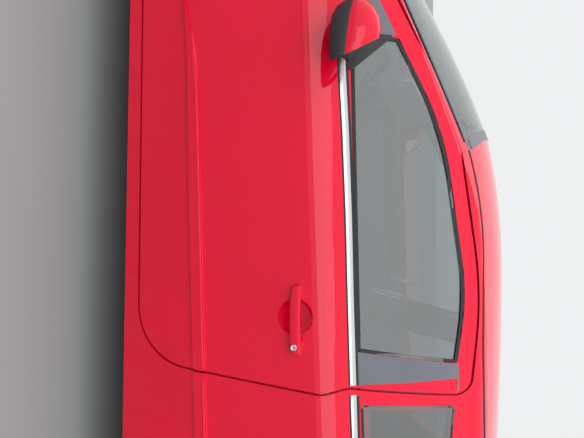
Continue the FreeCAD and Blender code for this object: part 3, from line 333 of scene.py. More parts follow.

# %% [markdown]
# ## Bright metal, alloy and mirrors
# The waist strip is a bright anodised section. It is brushed along its length,
# so its bump is a noise squeezed hard across the strip. The wheels are cast
# alloy under lacquer: silver paint with dark brake dust in random patches.

# %% Bright metals
def brushed_finish(name):
    made = Finish(name, Metallic=1.0)
    brushing = made.noise(60.0, 3.0, stretch=(0.6, 8.0, 30.0))
    made.colour(made.blend(brushing.socket, (0.66, 0.66, 0.67), (0.80, 0.80, 0.81)))
    made.rough(0.16 + brushing * 0.16)
    made.bump(brushing.socket, 0.00002, 0.4)
    return made.material


def mirror_finish(name):
    made = Finish(name, Metallic=1.0)
    haze = made.noise(40.0, 2.0)
    made.colour(made.blend(haze.socket, (0.86, 0.88, 0.88), (0.90, 0.91, 0.92)))
    made.rough(haze * 0.03)
    return made.material


def alloy_finish(name, silver, grime):
    made = Finish(name, Metallic=0.65, Coat_Weight=0.7, Coat_Roughness=0.06)
    flake = made.cells(2200.0)
    drift = made.noise(16.0, 4.0)
    dirt = drift.above(0.56, 0.25) * 0.6
    made.colour(made.blend(dirt.socket, silver, grime))
    made.rough((0.26 + dirt * 0.4 + flake * 0.08).clamped())
    made.bump(flake.socket, 0.00002, 0.3)
    return made.material


bright_strip = brushed_finish("bright_strip")
mirror_glass = mirror_finish("mirror_glass")
alloy = alloy_finish("alloy", (0.60, 0.61, 0.63), (0.14, 0.12, 0.11))
disc_steel = alloy_finish("disc_steel", (0.42, 0.42, 0.43), (0.22, 0.14, 0.09))
print("bright metals done")

# %% [markdown]
# ## Glass
# A pane is a closed solid here, so real refraction works: transmission 1, an
# IOR and a tint on the shader's colour that wanders a little. Seen from outside
# by day, a car's side windows mirror the sky more than they show the cabin, so
# their IOR is set well above real glass; the windscreen's and the lenses' are
# near it. The rear panes are darker.

# %% Glass
def glass_finish(name, tint, ior):
    made = Finish(name, IOR=ior, Transmission_Weight=1.0, Roughness=0.0)
    drift = made.noise(5.0, 5.0, stretch=(1.0, 1.0, 3.0))
    made.colour(made.blend(drift.socket, tint, tuple(c * 0.94 for c in tint)))
    return made.material


side_glass = glass_finish("window_glass", (0.42, 0.50, 0.50), 2.8)
screen_glass = glass_finish("screen_glass", (0.34, 0.42, 0.38), 1.6)
dark_glass = glass_finish("dark_glass", (0.30, 0.33, 0.35), 2.6)
tail_glass = glass_finish("tail_lens", (0.62, 0.010, 0.014), 1.5)
lamp_glass = glass_finish("lamp_lens", (0.94, 0.95, 0.96), 1.5)
print("glass done")

# %% [markdown]
# ## Seat cloth
# The seats wear a dark grey woven cloth. Two crossed waves make the weave in
# the bump, the yarn's tone wanders from thread to thread, and the inserts, the
# part of each seat between its long seams, are a little paler.

# %% Seat cloth
SEAT_MIDDLE = -0.360
INSERT_HALF_WIDTH = 0.138
THREAD_PITCH = 0.0024


def cloth_finish(name, dark, pale):
    made = Finish(name, Sheen_Weight=0.35, Sheen_Roughness=0.5, Specular_IOR_Level=0.25)
    waves = 2 * math.pi / THREAD_PITCH
    warp = (made.axis("Y") * waves).sine().absolute()
    weft = ((made.axis("X") + made.axis("Z")) * waves).sine().absolute()
    weave = warp * 0.5 + weft * 0.5
    yarn = made.noise(380.0, 2.0, stretch=(1.0, 0.2, 1.0))
    wear = made.noise(5.0, 3.0)
    aside = (made.axis("Y").absolute() + SEAT_MIDDLE).absolute()
    insert = 1 - aside.above(INSERT_HALF_WIDTH, 0.004)
    tone = (yarn * 0.35 + wear * 0.25 + insert * 0.4).clamped()
    made.colour(made.blend(tone.socket, dark, pale))
    made.rough(0.82 + weave * 0.1)
    made.bump((weave * 0.7 + yarn * 0.3).socket, 0.0004, 0.6)
    return made.material


seat_cloth = cloth_finish("seat_cloth", (0.022, 0.023, 0.026), (0.115, 0.118, 0.125))
print("cloth done")

# %% [markdown]
# ## A helper for new pieces
# Every new piece is modelled in a bmesh at its place on the car, so its object
# stays at the origin. `make_piece` turns the bmesh into an object, recalculates
# its normals, shades it, gives it a finish and a body to ride on. It also looks
# up a slot name for the finish or takes the call's, but does not store it.

# %% Making a piece
SMOOTH_ANGLE = math.radians(34)
SLOTS = {
    body_paint: "body_paint", black_plastic: "black_plastic", rubber_and_painted_shadow: "black_plastic",
    pillar_black: "black_plastic", bright_strip: "alloy", alloy: "alloy", disc_steel: "dark_steel",
    tyre_rubber: "tyre_rubber", lamp_glass: "lamp_lens", tail_glass: "tail_lens", dark_red: "tail_lens",
    seat_cloth: "seat_cloth", dash_skin: "dash_plastic", leather_black: "wheel_leather",
}


def make_piece(name, shape, finish, body, slot=None, angle=SMOOTH_ANGLE, merge=0.00001, fill=None,
               replaces=None):
    """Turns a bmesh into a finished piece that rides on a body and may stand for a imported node."""
    if merge:
        bmesh.ops.remove_doubles(shape, verts=shape.verts, dist=merge)
    bmesh.ops.recalc_face_normals(shape, faces=shape.faces)
    mesh = bpy.data.meshes.new(name)
    shape.to_mesh(mesh)
    shape.free()
    mesh.shade_smooth()
    mesh.set_sharp_from_angle(angle=angle)
    piece = bpy.data.objects.new(name, mesh)
    bpy.context.scene.collection.objects.link(piece)
    mesh.materials.append(finish)
    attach(piece, body)
    slot = slot or SLOTS.get(finish)
    if replaces:
        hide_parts(replaces)
    print(name, "faces", len(mesh.polygons))


def mirrored_copy(shape):
    """A copy of a bmesh on the car's other side."""
    other = shape.copy()
    bmesh.ops.scale(other, vec=(1, -1, 1), verts=other.verts)
    bmesh.ops.reverse_faces(other, faces=other.faces)
    return other


def both_sides(name, shape, finish, body, replaces="", **more):
    """The left piece and its mirror image; {} in the body's or node's name is the hand."""
    for hand, half in (("left", shape.copy()), ("right", mirrored_copy(shape))):
        make_piece(name + "_" + hand, half, finish, body.format(hand), replaces=replaces.format(hand), **more)
    shape.free()

# %% [markdown]
# ## Painted panels
# A panel's outside is painted, while its inner face is lined or shows sound
# felt, and whatever looks at the road is coated against stones. One finish
# holds all three: the object's own normal says which way a face looks, so no
# face has to be picked by hand, and a door that swings keeps its finish.

# %% Panel finish
LINING = (0.17, 0.17, 0.18)
GUARD = (0.018, 0.018, 0.018)


def panel_finish(name):
    paint = Finish(name, IOR=PAINT_IOR)
    look_y, look_z = (paint.axis(letter, "Normal") for letter in "YZ")
    side = paint.axis("Y").above(0.0, 0.002) * 2 - 1
    height = paint.axis("Z")
    inward = (side * look_y * -1).above(0.25, 0.05)
    under_roof = (look_z * -1).above(0.35, 0.05) * height.above(1.0, 0.02)
    to_road = (look_z * -1).above(0.75, 0.05) * (1 - height.above(0.7, 0.02))
    lined = (inward + under_roof).clamped() * height.above(0.3, 0.02)
    red, film = dusty_red(paint, DUST_TOP_Z - 0.06, 0.2, 0.035, 0.66, 0.01)
    red = paint.blend(lined.socket, red, LINING)
    paint.colour(paint.blend(to_road.socket, red, GUARD))
    bare = (lined + to_road).clamped()
    paint.rough(GLOSS + bare * 0.72 + film * 0.6)
    peel = paint.noise(260.0, 1.0) * (1 - bare) * 0.3
    felt = paint.cells(900.0) * bare
    paint.bump((peel + felt) * 0.00004 + shoulder_roll(paint), 1.0)
    return paint.material


panel_paint = panel_finish("panel_paint")
print("panel nodes", len(panel_paint.node_tree.nodes))

# %% [markdown]
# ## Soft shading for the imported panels
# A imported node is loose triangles. A Geometry Nodes modifier joins their
# corners, shades them smooth and keeps every edge sharper than a set angle
# crisp. The node's own mesh stays as it is, as the frame asks.

# %% Soft shading
CRISP_ANGLE = math.radians(25)


def soft_shading_group():
    group = bpy.data.node_groups.new("soft_shading", "GeometryNodeTree")
    group.interface.new_socket("Geometry", in_out="INPUT", socket_type="NodeSocketGeometry")
    group.interface.new_socket("Geometry", in_out="OUTPUT", socket_type="NodeSocketGeometry")
    steps = {}
    for name, kind in (("start", "NodeGroupInput"), ("merge", "GeometryNodeMergeByDistance"),
                       ("faces", "GeometryNodeSetShadeSmooth"), ("edges", "GeometryNodeSetShadeSmooth"),
                       ("angle", "GeometryNodeInputMeshEdgeAngle"), ("crisp", "FunctionNodeCompare"),
                       ("end", "NodeGroupOutput")):
        steps[name] = group.nodes.new(kind)
    steps["merge"].inputs["Distance"].default_value = 0.00002
    steps["faces"].domain = "FACE"
    steps["edges"].domain = "EDGE"
    steps["edges"].inputs["Shade Smooth"].default_value = False
    steps["crisp"].operation = "GREATER_THAN"
    steps["crisp"].inputs[1].default_value = CRISP_ANGLE
    link = group.links.new
    link(steps["start"].outputs[0], steps["merge"].inputs["Geometry"])
    link(steps["merge"].outputs[0], steps["faces"].inputs["Geometry"])
    link(steps["faces"].outputs[0], steps["edges"].inputs["Geometry"])
    link(steps["angle"].outputs["Unsigned Angle"], steps["crisp"].inputs[0])
    link(steps["crisp"].outputs[0], steps["edges"].inputs["Selection"])
    link(steps["edges"].outputs[0], steps["end"].inputs[0])
    return group


SOFT_SHADING = soft_shading_group()

# %% [markdown]
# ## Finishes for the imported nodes
# A table gives each node its finish. Left and right pieces share a row through
# their common stem, and the loop takes the first stem that a name starts with.

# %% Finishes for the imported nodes
NODE_FINISHES = [
    ("windscreen", screen_glass),
    ("tailgate_glass", dark_glass),
    ("quarter_glass", dark_glass),
    ("door_glass", side_glass),
    ("door_handle", body_paint),
    ("front_bumper", panel_paint),
    ("rear_bumper", panel_paint),
    ("front_wings", panel_paint),
    ("front_structure", stone_guard),
    ("front_subframe", dark_steel),
    ("front_seats", trim_grey),
    ("headlamps", lamp_glass),
    ("tail_lamps", tail_glass),
    ("grille", black_plastic),
    ("scuttle", black_plastic),
    ("floor_pan", stone_guard),
    ("engine_block", cast_metal),
    ("knuckle", cast_metal),
    ("rear_axle", dark_steel),
    ("exhaust", exhaust_steel),
    ("fuel_tank", tank_plastic),
    ("rim", alloy),
    ("tyre", tyre_rubber),
    ("dashboard", dash_skin),
    ("steering_wheel", leather_black),
    ("rear_seat", trim_grey),
    ("parcel_shelf", dash_skin),
    ("", panel_paint),
]

for node_name, node in NODES.items():
    finish = next(finish for stem, finish in NODE_FINISHES if node_name.startswith(stem))
    for material_slot in node.material_slots:
        material_slot.material = finish
    shading = node.modifiers.new("soft_shading", "NODES")
    shading.node_group = SOFT_SHADING
for pane in ("door_glass_left", "door_glass_right", "quarter_glass", "windscreen", "tailgate_glass"):
    NODES[pane].visible_shadow = False
print("finished nodes", len(NODES))

# %% [markdown]
# ## Where the skin is
# Strips, seals and mouldings lie on the body. A ray from the left, straight
# across the car, finds the panel at a given place of the side view. Door glass
# lies four millimetres inside the skin, so a hit on glass is moved out by that.

# %% Finding the skin
GLASS_RECESS = 0.004
SIDE_NODES = ("door_left", "body_side_left", "front_wings", "quarter_glass", "door_glass_left",
              "front_bumper", "rear_bumper", "tail_lamps", "headlamps")


def node_tree_of(name):
    mesh = NODES[name].data
    corners = [vertex.co for vertex in mesh.vertices]
    return BVHTree.FromPolygons(corners, [tuple(face.vertices) for face in mesh.polygons])


SIDE_TREES = {name: node_tree_of(name) for name in SIDE_NODES}


def skin_y(x, z):
    """The Y of the left skin at a place of the side view, or None where there is none."""
    best = None
    for name, tree in SIDE_TREES.items():
        hit = tree.ray_cast(Vector((x, -2, z)), Vector((0, 1, 0)))[0]
        if hit is not None and hit.y < -0.3:
            y = hit.y - (GLASS_RECESS if name == "door_glass_left" else 0)
            best = y if best is None else min(best, y)
    return best


def skin_near(x, z):
    """The skin's Y at a place, or at the nearest place that has skin."""
    for step in (0, 0.006, -0.006, 0.012, -0.012, 0.02, -0.02, 0.03, -0.03, 0.045):
        for dx, dz in ((0, step), (step, 0)):
            y = skin_y(x + dx, z + dz)
            if y is not None:
                return y
    raise ValueError("no skin near %.3f %.3f" % (x, z))


def settle(shape, lift):
    """Drops a flat side view onto the left skin; each vertex keeps its own Y as depth."""
    known = {}
    for vertex in shape.verts:
        x, depth, z = vertex.co
        key = (round(x, 5), round(z, 5))
        if key not in known:
            known[key] = skin_near(x, z)
        vertex.co.y = known[key] - lift + depth


def rounded_face(corners):
    """A face in the side view from corners given as x, z and radius."""
    shape = bmesh.new()
    verts = [shape.verts.new((x, 0, z)) for x, z, radius in corners]
    shape.faces.new(verts)
    count = len(corners)
    rounds = []
    for i, (x, z, radius) in enumerate(corners):
        here = Vector((x, 0, z))
        back = Vector((corners[i - 1][0], 0, corners[i - 1][1])) - here
        ahead = Vector((corners[(i + 1) % count][0], 0, corners[(i + 1) % count][1])) - here
        if radius:
            half = back.angle(ahead) / 2
            reach = min(radius / math.tan(half), 0.47 * back.length, 0.47 * ahead.length)
            rounds.append((verts[i], reach, 10 if radius > 0.1 else 4))
    for vertex, reach, segments in rounds:
        bmesh.ops.bevel(shape, geom=[vertex], offset=reach, offset_type="OFFSET", affect="VERTICES",
                        segments=segments, profile=0.5, material=-1)
    bmesh.ops.remove_doubles(shape, verts=shape.verts, dist=0.0004)
    return shape


def cut_across(shape, pitch, axis=0):
    """Cuts a shape by evenly spaced planes, so that it can follow a curve."""
    places = [vertex.co[axis] for vertex in shape.verts]
    normal = Vector((0, 0, 0))
    normal[axis] = 1
    count = int((max(places) - min(places)) / pitch)
    for i in range(1, count + 1):
        level_here = min(places) + (max(places) - min(places)) * i / (count + 1)
        bmesh.ops.bisect_plane(shape, geom=shape.verts[:] + shape.edges[:] + shape.faces[:],
                               dist=0.00001, plane_co=normal * level_here, plane_no=normal)


def thicken(shape, thickness):
    """Gives a sheet of the side view a depth towards the car's middle."""
    grown = bmesh.ops.extrude_face_region(shape, geom=shape.faces[:], use_keep_orig=True)
    new_verts = [item for item in grown["geom"] if isinstance(item, bmesh.types.BMVert)]
    bmesh.ops.translate(shape, vec=(0, thickness, 0), verts=new_verts)


def soften(shape, width, segments=2, angle=math.radians(40)):
    """Bevels every edge that is sharper than the angle."""
    bmesh.ops.recalc_face_normals(shape, faces=shape.faces)
    edges = [edge for edge in shape.edges if edge.is_manifold and edge.calc_face_angle(0) > angle]
    bmesh.ops.bevel(shape, geom=edges, offset=width, offset_type="OFFSET", affect="EDGES",
                    segments=segments, profile=0.5, material=-1, clamp_overlap=True)


print("skin at the door's middle y = %.3f" % skin_y(0.1, 0.7))

# %% [markdown]
# ## Floor and light
# The car stands on a plain floor under a large soft sky, as in a daylight
# studio. The world's light is bright overhead and dim below the horizon, so
# that the paint steps clearly from the shoulder, which looks up, to the door,
# which looks across. One broad lamp lights the near side. What the camera sees
# of the world, directly, mirrored or through glass, is one plain pale backdrop.

# %% Floor and light
FLOOR_TONE = (0.26, 0.255, 0.25)
BACKDROP_TONE = (0.86, 0.87, 0.88)
FLOOR_SIZE = 60.0

floor_shape = bmesh.new()
bmesh.ops.create_grid(floor_shape, x_segments=1, y_segments=1, size=FLOOR_SIZE / 2)
floor_mesh = bpy.data.meshes.new("floor")
floor_shape.to_mesh(floor_mesh)
floor_shape.free()
floor = bpy.data.objects.new("floor", floor_mesh)
bpy.context.scene.collection.objects.link(floor)
floor_finish = Finish("floor", Roughness=0.9)
floor_drift = floor_finish.noise(0.6).socket
floor_finish.colour(floor_finish.blend(floor_drift, FLOOR_TONE, tuple(c * 0.96 for c in FLOOR_TONE)))
floor_mesh.materials.append(floor_finish.material)

# height of the gaze, colour
SKY_STOPS = [(0.0, (0.10, 0.105, 0.10)), (0.24, (0.17, 0.18, 0.18)), (0.40, (0.70, 0.74, 0.78)),
             (0.52, (1.9, 2.0, 2.08)), (0.66, (2.3, 2.4, 2.5)), (0.84, (2.2, 2.3, 2.38)),
             (1.0, (1.1, 1.13, 1.16))]
world = bpy.data.worlds.new("sky")
bpy.context.scene.world = world
world.use_nodes = True
world.node_tree.nodes.clear()
sky_nodes = Nodes(world.node_tree)
gaze_direction = sky_nodes.node("TexCoord", "Generated")
gaze_y, gaze_z = (sky_nodes.field("SeparateXYZ", letter, Vector=gaze_direction) for letter in "YZ")
cloud_place = sky_nodes.node("Mapping", Vector=gaze_direction, Scale=(1.2, 3.0, 7.0))
clouds = sky_nodes.field("TexNoise", Vector=cloud_place, Scale=1.6, Detail=4.0)
tone = sky_nodes.node("ValToRGB", 0, {"stops": SKY_STOPS}, Fac=(clouds - 0.5) * 0.30 + gaze_z)
studio = sky_nodes.node("Background", Color=tone, Strength=0.95 - gaze_y * 0.40)
backdrop = sky_nodes.node("Background", Color=BACKDROP_TONE)
camera_ray, glossy_ray, glass_ray = (sky_nodes.field("LightPath", kind) for kind in
                                     ("Is Camera Ray", "Is Glossy Ray", "Is Transmission Ray"))
seen = (camera_ray + glossy_ray + glass_ray).clamped()
world_out = world.node_tree.nodes.new("ShaderNodeOutputWorld")
sky_nodes.put(world_out, "Surface", sky_nodes.node("MixShader", i0=seen, i1=studio, i2=backdrop))

LAMP_PLACE = Vector((-0.8, -7.0, 3.4))
LAMP_TARGET = Vector((0.0, -0.8, 0.8))
LAMP_SIZE = (9.0, 3.2)
LAMP_POWER = 120.0
lamp_data = bpy.data.lights.new("side", "AREA")
lamp_data.shape = "RECTANGLE"
lamp_data.size, lamp_data.size_y = LAMP_SIZE
lamp_data.energy = LAMP_POWER
lamp = bpy.data.objects.new("side", lamp_data)
bpy.context.scene.collection.objects.link(lamp)
aim = (LAMP_TARGET - LAMP_PLACE).to_track_quat("-Z", "Y").to_matrix().to_4x4()
lamp.matrix_world = Matrix.Translation(LAMP_PLACE) @ aim
bpy.context.scene.view_settings.view_transform = "Standard"
print("lamp power", LAMP_POWER)

# %% [markdown]
# ## Long pieces from sections
# A strip, a moulding or a handle is one section that changes along its length.
# `lofted` starts from a single face, extrudes it and moves the new corners to
# the next section, so the sides come from the extrude operator and both ends
# stay closed. `along` reads a small table of stations at any place between.

# %% Sections and stations
def along(table, x, column=1):
    """A column of a table at x, which is the table's first column."""
    rows = sorted(table)
    if x <= rows[0][0]:
        return rows[0][column]
    for low, high in zip(rows, rows[1:]):
        if x <= high[0]:
            share = (x - low[0]) / (high[0] - low[0])
            return low[column] + (high[column] - low[column]) * share
    return rows[-1][column]


def lofted(sections):
    """A closed bmesh through sections with the same number of points."""
    shape = bmesh.new()
    face = shape.faces.new([shape.verts.new(point) for point in sections[0]])
    for section in sections[1:]:
        corners = list(face.verts)
        face = bmesh.ops.extrude_discrete_faces(shape, faces=[face])["faces"][0]
        for vertex in face.verts:
            vertex.index = min(range(len(corners)), key=lambda i: (corners[i].co - vertex.co).length)
        for vertex in face.verts:
            vertex.co = section[vertex.index]
    return shape


def spread(low, high, count):
    """Evenly spaced numbers from low to high."""
    return [low + (high - low) * i / (count - 1) for i in range(count)]


def turned(degrees, axis):
    return Matrix.Rotation(math.radians(degrees), 4, axis)


def ellipse(x, z, half_x, half_y, count):
    """Points of a level ellipse on the car's middle."""
    turns = [2 * math.pi * i / count for i in range(count)]
    return [Vector((x + half_x * math.cos(turn), half_y * math.sin(turn), z)) for turn in turns]


def joined(target, part, matrix=None):
    """Adds a shape to another, moved by a matrix."""
    mesh = bpy.data.meshes.new("part")
    part.to_mesh(mesh)
    if matrix is not None:
        mesh.transform(matrix)
    target.from_mesh(mesh)
    bpy.data.meshes.remove(mesh)


def add_cone(shape, sides, foot_radius, top_radius, height, matrix):
    """Adds a closed cone or rod; it stands along Z until the matrix moves it."""
    bmesh.ops.create_cone(shape, cap_ends=True, segments=sides, radius1=foot_radius, radius2=top_radius,
                          depth=height, matrix=matrix)


# %% [markdown]
# ## Waist strip
# A bright strip runs along the foot of the side windows, with a rubber wiper
# above it. Below it lies a thin black strip that is a painted shadow: the dark
# line of shade under the bright strip. The stations follow the belt line as it
# rises towards the tail. Each length stops at the door's shut line, so that
# the front one can swing with the door.

# %% Waist strip
# x, lower edge, upper edge
BELT = [
    (-0.480, 0.909, 0.926), (-0.411, 0.913, 0.932), (-0.184, 0.927, 0.945), (0.086, 0.939, 0.956),
    (0.328, 0.947, 0.963), (0.580, 0.956, 0.972), (0.735, 0.962, 0.977), (1.150, 0.978, 0.990),
]
STRIP_PROUD = 0.0035
RUBBER_HEIGHT = 0.007
RUBBER_PROUD = 0.0024
SHADOW_HEIGHT = 0.005
SHADOW_PROUD = 0.0008
BELT_STATIONS = 26
# name, body, first x, last x
BELT_RUNS = [("door", "{}_door", -0.462, 0.5815), ("quarter", "shell", 0.5935, 1.135)]


def belt_section(x, low, high, proud, inside=0.003):
    """A low rounded section on the skin, at x, from height low to high."""
    points = []
    for share, rise in ((0.0, -inside), (0.0, 0.55 * proud), (0.18, 0.92 * proud), (0.5, proud),
                        (0.82, 0.92 * proud), (1.0, 0.55 * proud), (1.0, -inside)):
        z = low + (high - low) * share
        points.append(Vector((x, skin_near(x, z) - rise, z)))
    return points


for run, body, start, end in BELT_RUNS:
    belt = [(x, along(BELT, x, 1), along(BELT, x, 2)) for x in spread(start, end, BELT_STATIONS)]
    strip = lofted([belt_section(x, low, high, STRIP_PROUD) for x, low, high in belt])
    both_sides("waist_strip_" + run, strip, bright_strip, body)
    rubber = lofted([belt_section(x, high, high + RUBBER_HEIGHT, RUBBER_PROUD) for x, low, high in belt])
    both_sides("waist_rubber_" + run, rubber, rubber_and_painted_shadow, body)
    # A painted shadow: a thin black strip on the skin where the bright strip's shadow falls.
    shadow = lofted([belt_section(x, low - SHADOW_HEIGHT, low, SHADOW_PROUD) for x, low, high in belt])
    both_sides("strip_shadow_" + run, shadow, rubber_and_painted_shadow, body)

# %% [markdown]
# ## Window seal, pillar panel and mirror corner
# The door glass sits in a black rubber frame. Behind it the door's pillar has a
# matt grey panel, and in front a grey triangle fills the corner that the mirror
# grows from. All are flat outlines of the side view, cut across so that they
# bend, dropped onto the skin and thickened.

# %% Window seal
# x, z, corner radius
DOOR_WINDOW = [(-0.480, 0.945, 0.008), (0.483, 0.972, 0.008), (0.537, 1.262, 0.012), (0.320, 1.292, 2.5),
               (-0.200, 1.222, 0.9), (-0.480, 1.087, 0.010)]
QUARTER_WINDOW = [(0.640, 0.985, 0.010), (1.130, 1.006, 0.030), (1.236, 1.196, 0.040),
                  (0.668, 1.256, 0.015)]
SEAL_WIDTH = 0.011
QUARTER_SEAL_WIDTH = 0.006


def seal_ring(corners, width, proud, depth):
    """A frame that follows a rounded outline, from just outside it inwards."""
    shape = rounded_face(corners)
    outline = shape.faces[:]
    bmesh.ops.inset_region(shape, faces=outline, thickness=width, use_even_offset=True, use_boundary=True)
    bmesh.ops.delete(shape, geom=outline, context="FACES")
    cut_across(shape, 0.05)
    settle(shape, proud)
    thicken(shape, depth)
    soften(shape, 0.0012)
    return shape


both_sides("window_seal", seal_ring(DOOR_WINDOW, SEAL_WIDTH, 0.0006, 0.006), rubber_and_painted_shadow, "{}_door")
quarter_seal = seal_ring(QUARTER_WINDOW, QUARTER_SEAL_WIDTH, 0.0012, 0.0035)
both_sides("quarter_seal", quarter_seal, rubber_and_painted_shadow, "shell")


def skin_panel(corners, proud, depth, edge, pitch=0.05):
    """A thin panel on the skin from a rounded outline."""
    shape = rounded_face(corners)
    cut_across(shape, pitch)
    cut_across(shape, pitch, axis=2)
    settle(shape, proud)
    thicken(shape, depth)
    soften(shape, edge)
    return shape


PILLAR_PANEL = [(0.4835, 0.9745, 0), (0.5905, 0.9765, 0), (0.6060, 1.0480, 0.3), (0.6275, 1.1900, 0.3),
                (0.6300, 1.2560, 0.03), (0.6220, 1.2680, 0.01), (0.5385, 1.2650, 0.004)]
both_sides("pillar_panel", skin_panel(PILLAR_PANEL, 0.0012, 0.003, 0.0008), pillar_black, "{}_door")
MIRROR_CORNER = [(-0.735, 0.940, 0.01), (-0.487, 0.928, 0), (-0.487, 1.079, 0.004), (-0.600, 1.027, 0.3),
                 (-0.735, 0.962, 0.01)]
both_sides("mirror_corner", skin_panel(MIRROR_CORNER, 0.0015, 0.004, 0.001), pillar_black, "{}_door")

# %% [markdown]
# ## Door mirror
# The mirror's shell is a painted cap that narrows to the front, with a soft
# ridge where it turns to the rim. It is made as rings round a line that runs
# forward from the rim: each ring is a rounded rectangle that leans with the rim,
# and the next one is extruded from it and resized. The longer edges are then
# subdivided once. Below the cap sits a black tray, a foot reaches in to the
# corner of the window, and a small gusset covers the foot's root.

# %% Door mirror
# x, share of the full ring, centre height, centre Y
MIRROR_RINGS = [
    (-0.5450, 0.16, 0.9560, -0.930), (-0.5400, 0.40, 0.9575, -0.932), (-0.5200, 0.66, 0.9640, -0.936),
    (-0.4900, 0.85, 0.9730, -0.939), (-0.4550, 0.965, 0.9800, -0.940), (-0.4200, 1.0, 0.9830, -0.940),
    (-0.4130, 0.995, 0.9830, -0.940), (-0.3960, 0.955, 0.9820, -0.940),
]
MIRROR_HALF_WIDTH = 0.0712
MIRROR_HALF_HEIGHT = 0.071
MIRROR_LEAN = 0.40
MIRROR_TOE = 0.42
RING_POINTS = 16
RIM_THICKNESS = 0.006
POCKET_DEPTH = 0.012


def mirror_ring(x, share, z, y):
    """A rounded rectangle round the mirror's long line, leaning back at its foot."""
    points = []
    for i in range(RING_POINTS):
        turn = 2 * math.pi * i / RING_POINTS
        across, rise = math.cos(turn), math.sin(turn)
        across = math.copysign(abs(across) ** 0.62, across) * MIRROR_HALF_WIDTH * share
        narrow = 1.0 - 0.20 * max(0.0, rise)
        rise = math.copysign(abs(rise) ** 0.72, rise) * MIRROR_HALF_HEIGHT * share
        reach = across * narrow
        points.append(Vector((x - MIRROR_LEAN * rise - MIRROR_TOE * reach, y + reach, z + rise)))
    return points


rings = [mirror_ring(*row) for row in MIRROR_RINGS]
rim_x, rim_share, rim_z, rim_y = MIRROR_RINGS[-1]
inner_share = rim_share - RIM_THICKNESS / MIRROR_HALF_HEIGHT
rings.append(mirror_ring(rim_x, inner_share, rim_z, rim_y))
rings.append(mirror_ring(rim_x - POCKET_DEPTH, inner_share - 0.02, rim_z, rim_y))
cap = lofted(rings)
bmesh.ops.subdivide_edges(cap, edges=[edge for edge in cap.edges if edge.calc_length() > 0.012], cuts=1,
                          use_grid_fill=True)
both_sides("mirror_shell", cap, body_paint, "{}_door", slot="mirror_shell", angle=math.radians(30),
           replaces="mirror_{}")

glass_face = lofted([mirror_ring(rim_x - POCKET_DEPTH + 0.0005, inner_share - 0.03, rim_z, rim_y),
                     mirror_ring(rim_x - POCKET_DEPTH + 0.0035, inner_share - 0.05, rim_z, rim_y)])
both_sides("mirror_glass", glass_face, mirror_glass, "{}_door")

tray = lofted([mirror_ring(x, share * 1.03 + 0.01, z, y) for x, share, z, y in MIRROR_RINGS])
bmesh.ops.bisect_plane(tray, geom=tray.verts[:] + tray.edges[:] + tray.faces[:], dist=0.00001,
                       plane_co=(0, 0, 0.9265), plane_no=(0.10, 0, 1), clear_outer=True)
bmesh.ops.holes_fill(tray, edges=[edge for edge in tray.edges if edge.is_boundary])
soften(tray, 0.0015)
both_sides("mirror_tray", tray, black_plastic, "{}_door")


def foot_ring(share):
    """A section of the foot between the window's corner (0) and the shell (1)."""
    y = -0.828 - 0.052 * share
    half_x = 0.052 - 0.014 * share
    centre_x, centre_z = -0.447 - 0.012 * share, 0.951 - 0.004 * share
    half_z = 0.026 - 0.008 * share
    return [Vector((centre_x + half_x * a, y, centre_z + half_z * b))
            for a, b in ((1, -0.7), (1, -0.2), (0.35, 1), (-0.8, 1), (-1, 0.6), (-1, -1), (0.7, -1))]


foot = lofted([foot_ring(share) for share in (0, 0.3, 0.7, 1.0)])
soften(foot, 0.003, 3)
both_sides("mirror_foot", foot, black_plastic, "{}_door")

MIRROR_GUSSET = [(-0.486, 0.938, 0.003), (-0.362, 0.944, 0.004), (-0.408, 0.992, 0.05),
                 (-0.486, 1.072, 0.004)]
gusset = skin_panel(MIRROR_GUSSET, 0.003, 0.006, 0.0015, 0.03)
both_sides("mirror_gusset", gusset, black_plastic, "{}_door")

# %% [markdown]
# ## Door handle and lock
# The handle is a flat painted bar over a round bowl. Its section is a soft
# rectangle that thins towards the front end, and a small bright lock sits in
# its rear end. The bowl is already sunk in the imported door, so the bar alone is
# remade here over the plain one.

# %% Door handle
# x, lower edge, upper edge, outer face
HANDLE_STATIONS = [
    (0.2820, 0.7935, 0.8085, -0.8800), (0.2850, 0.7895, 0.8120, -0.8915), (0.2980, 0.7860, 0.8140, -0.9000),
    (0.3300, 0.7835, 0.8145, -0.9060), (0.3900, 0.7830, 0.8150, -0.9080), (0.4500, 0.7832, 0.8150, -0.9060),
    (0.4830, 0.7850, 0.8140, -0.9000), (0.4930, 0.7895, 0.8120, -0.8930), (0.4960, 0.7950, 0.8070, -0.8820),
]
HANDLE_DEPTH = 0.013
HANDLE_FOOT = 0.040
HANDLE_ENDS = (0.284, 0.494)
BOWL_FLOOR_Y = -0.862


def handle_section(x, low, high, face):
    at_foot = x < HANDLE_ENDS[0] + HANDLE_FOOT or x > HANDLE_ENDS[1] - HANDLE_FOOT
    back = BOWL_FLOOR_Y if at_foot else face + HANDLE_DEPTH
    mid = (low + high) / 2
    half = (high - low) / 2
    rows = [(face + 0.0040, -1.0), (face + 0.0012, -0.82), (face, -0.4), (face, 0.4), (face + 0.0012, 0.82),
            (face + 0.0040, 1.0), (back, 1.0), (back, -1.0)]
    return [Vector((x, y, mid + half * share)) for y, share in rows]


handle_rows = []
for x in sorted(spread(0.2855, 0.4925, 26) + [0.2820, 0.4960]):
    handle_rows.append(handle_section(x, *[along(HANDLE_STATIONS, x, column) for column in (1, 2, 3)]))
both_sides("handle_bar", lofted(handle_rows), body_paint, "{}_door", angle=math.radians(28),
           replaces="door_handle_{}")

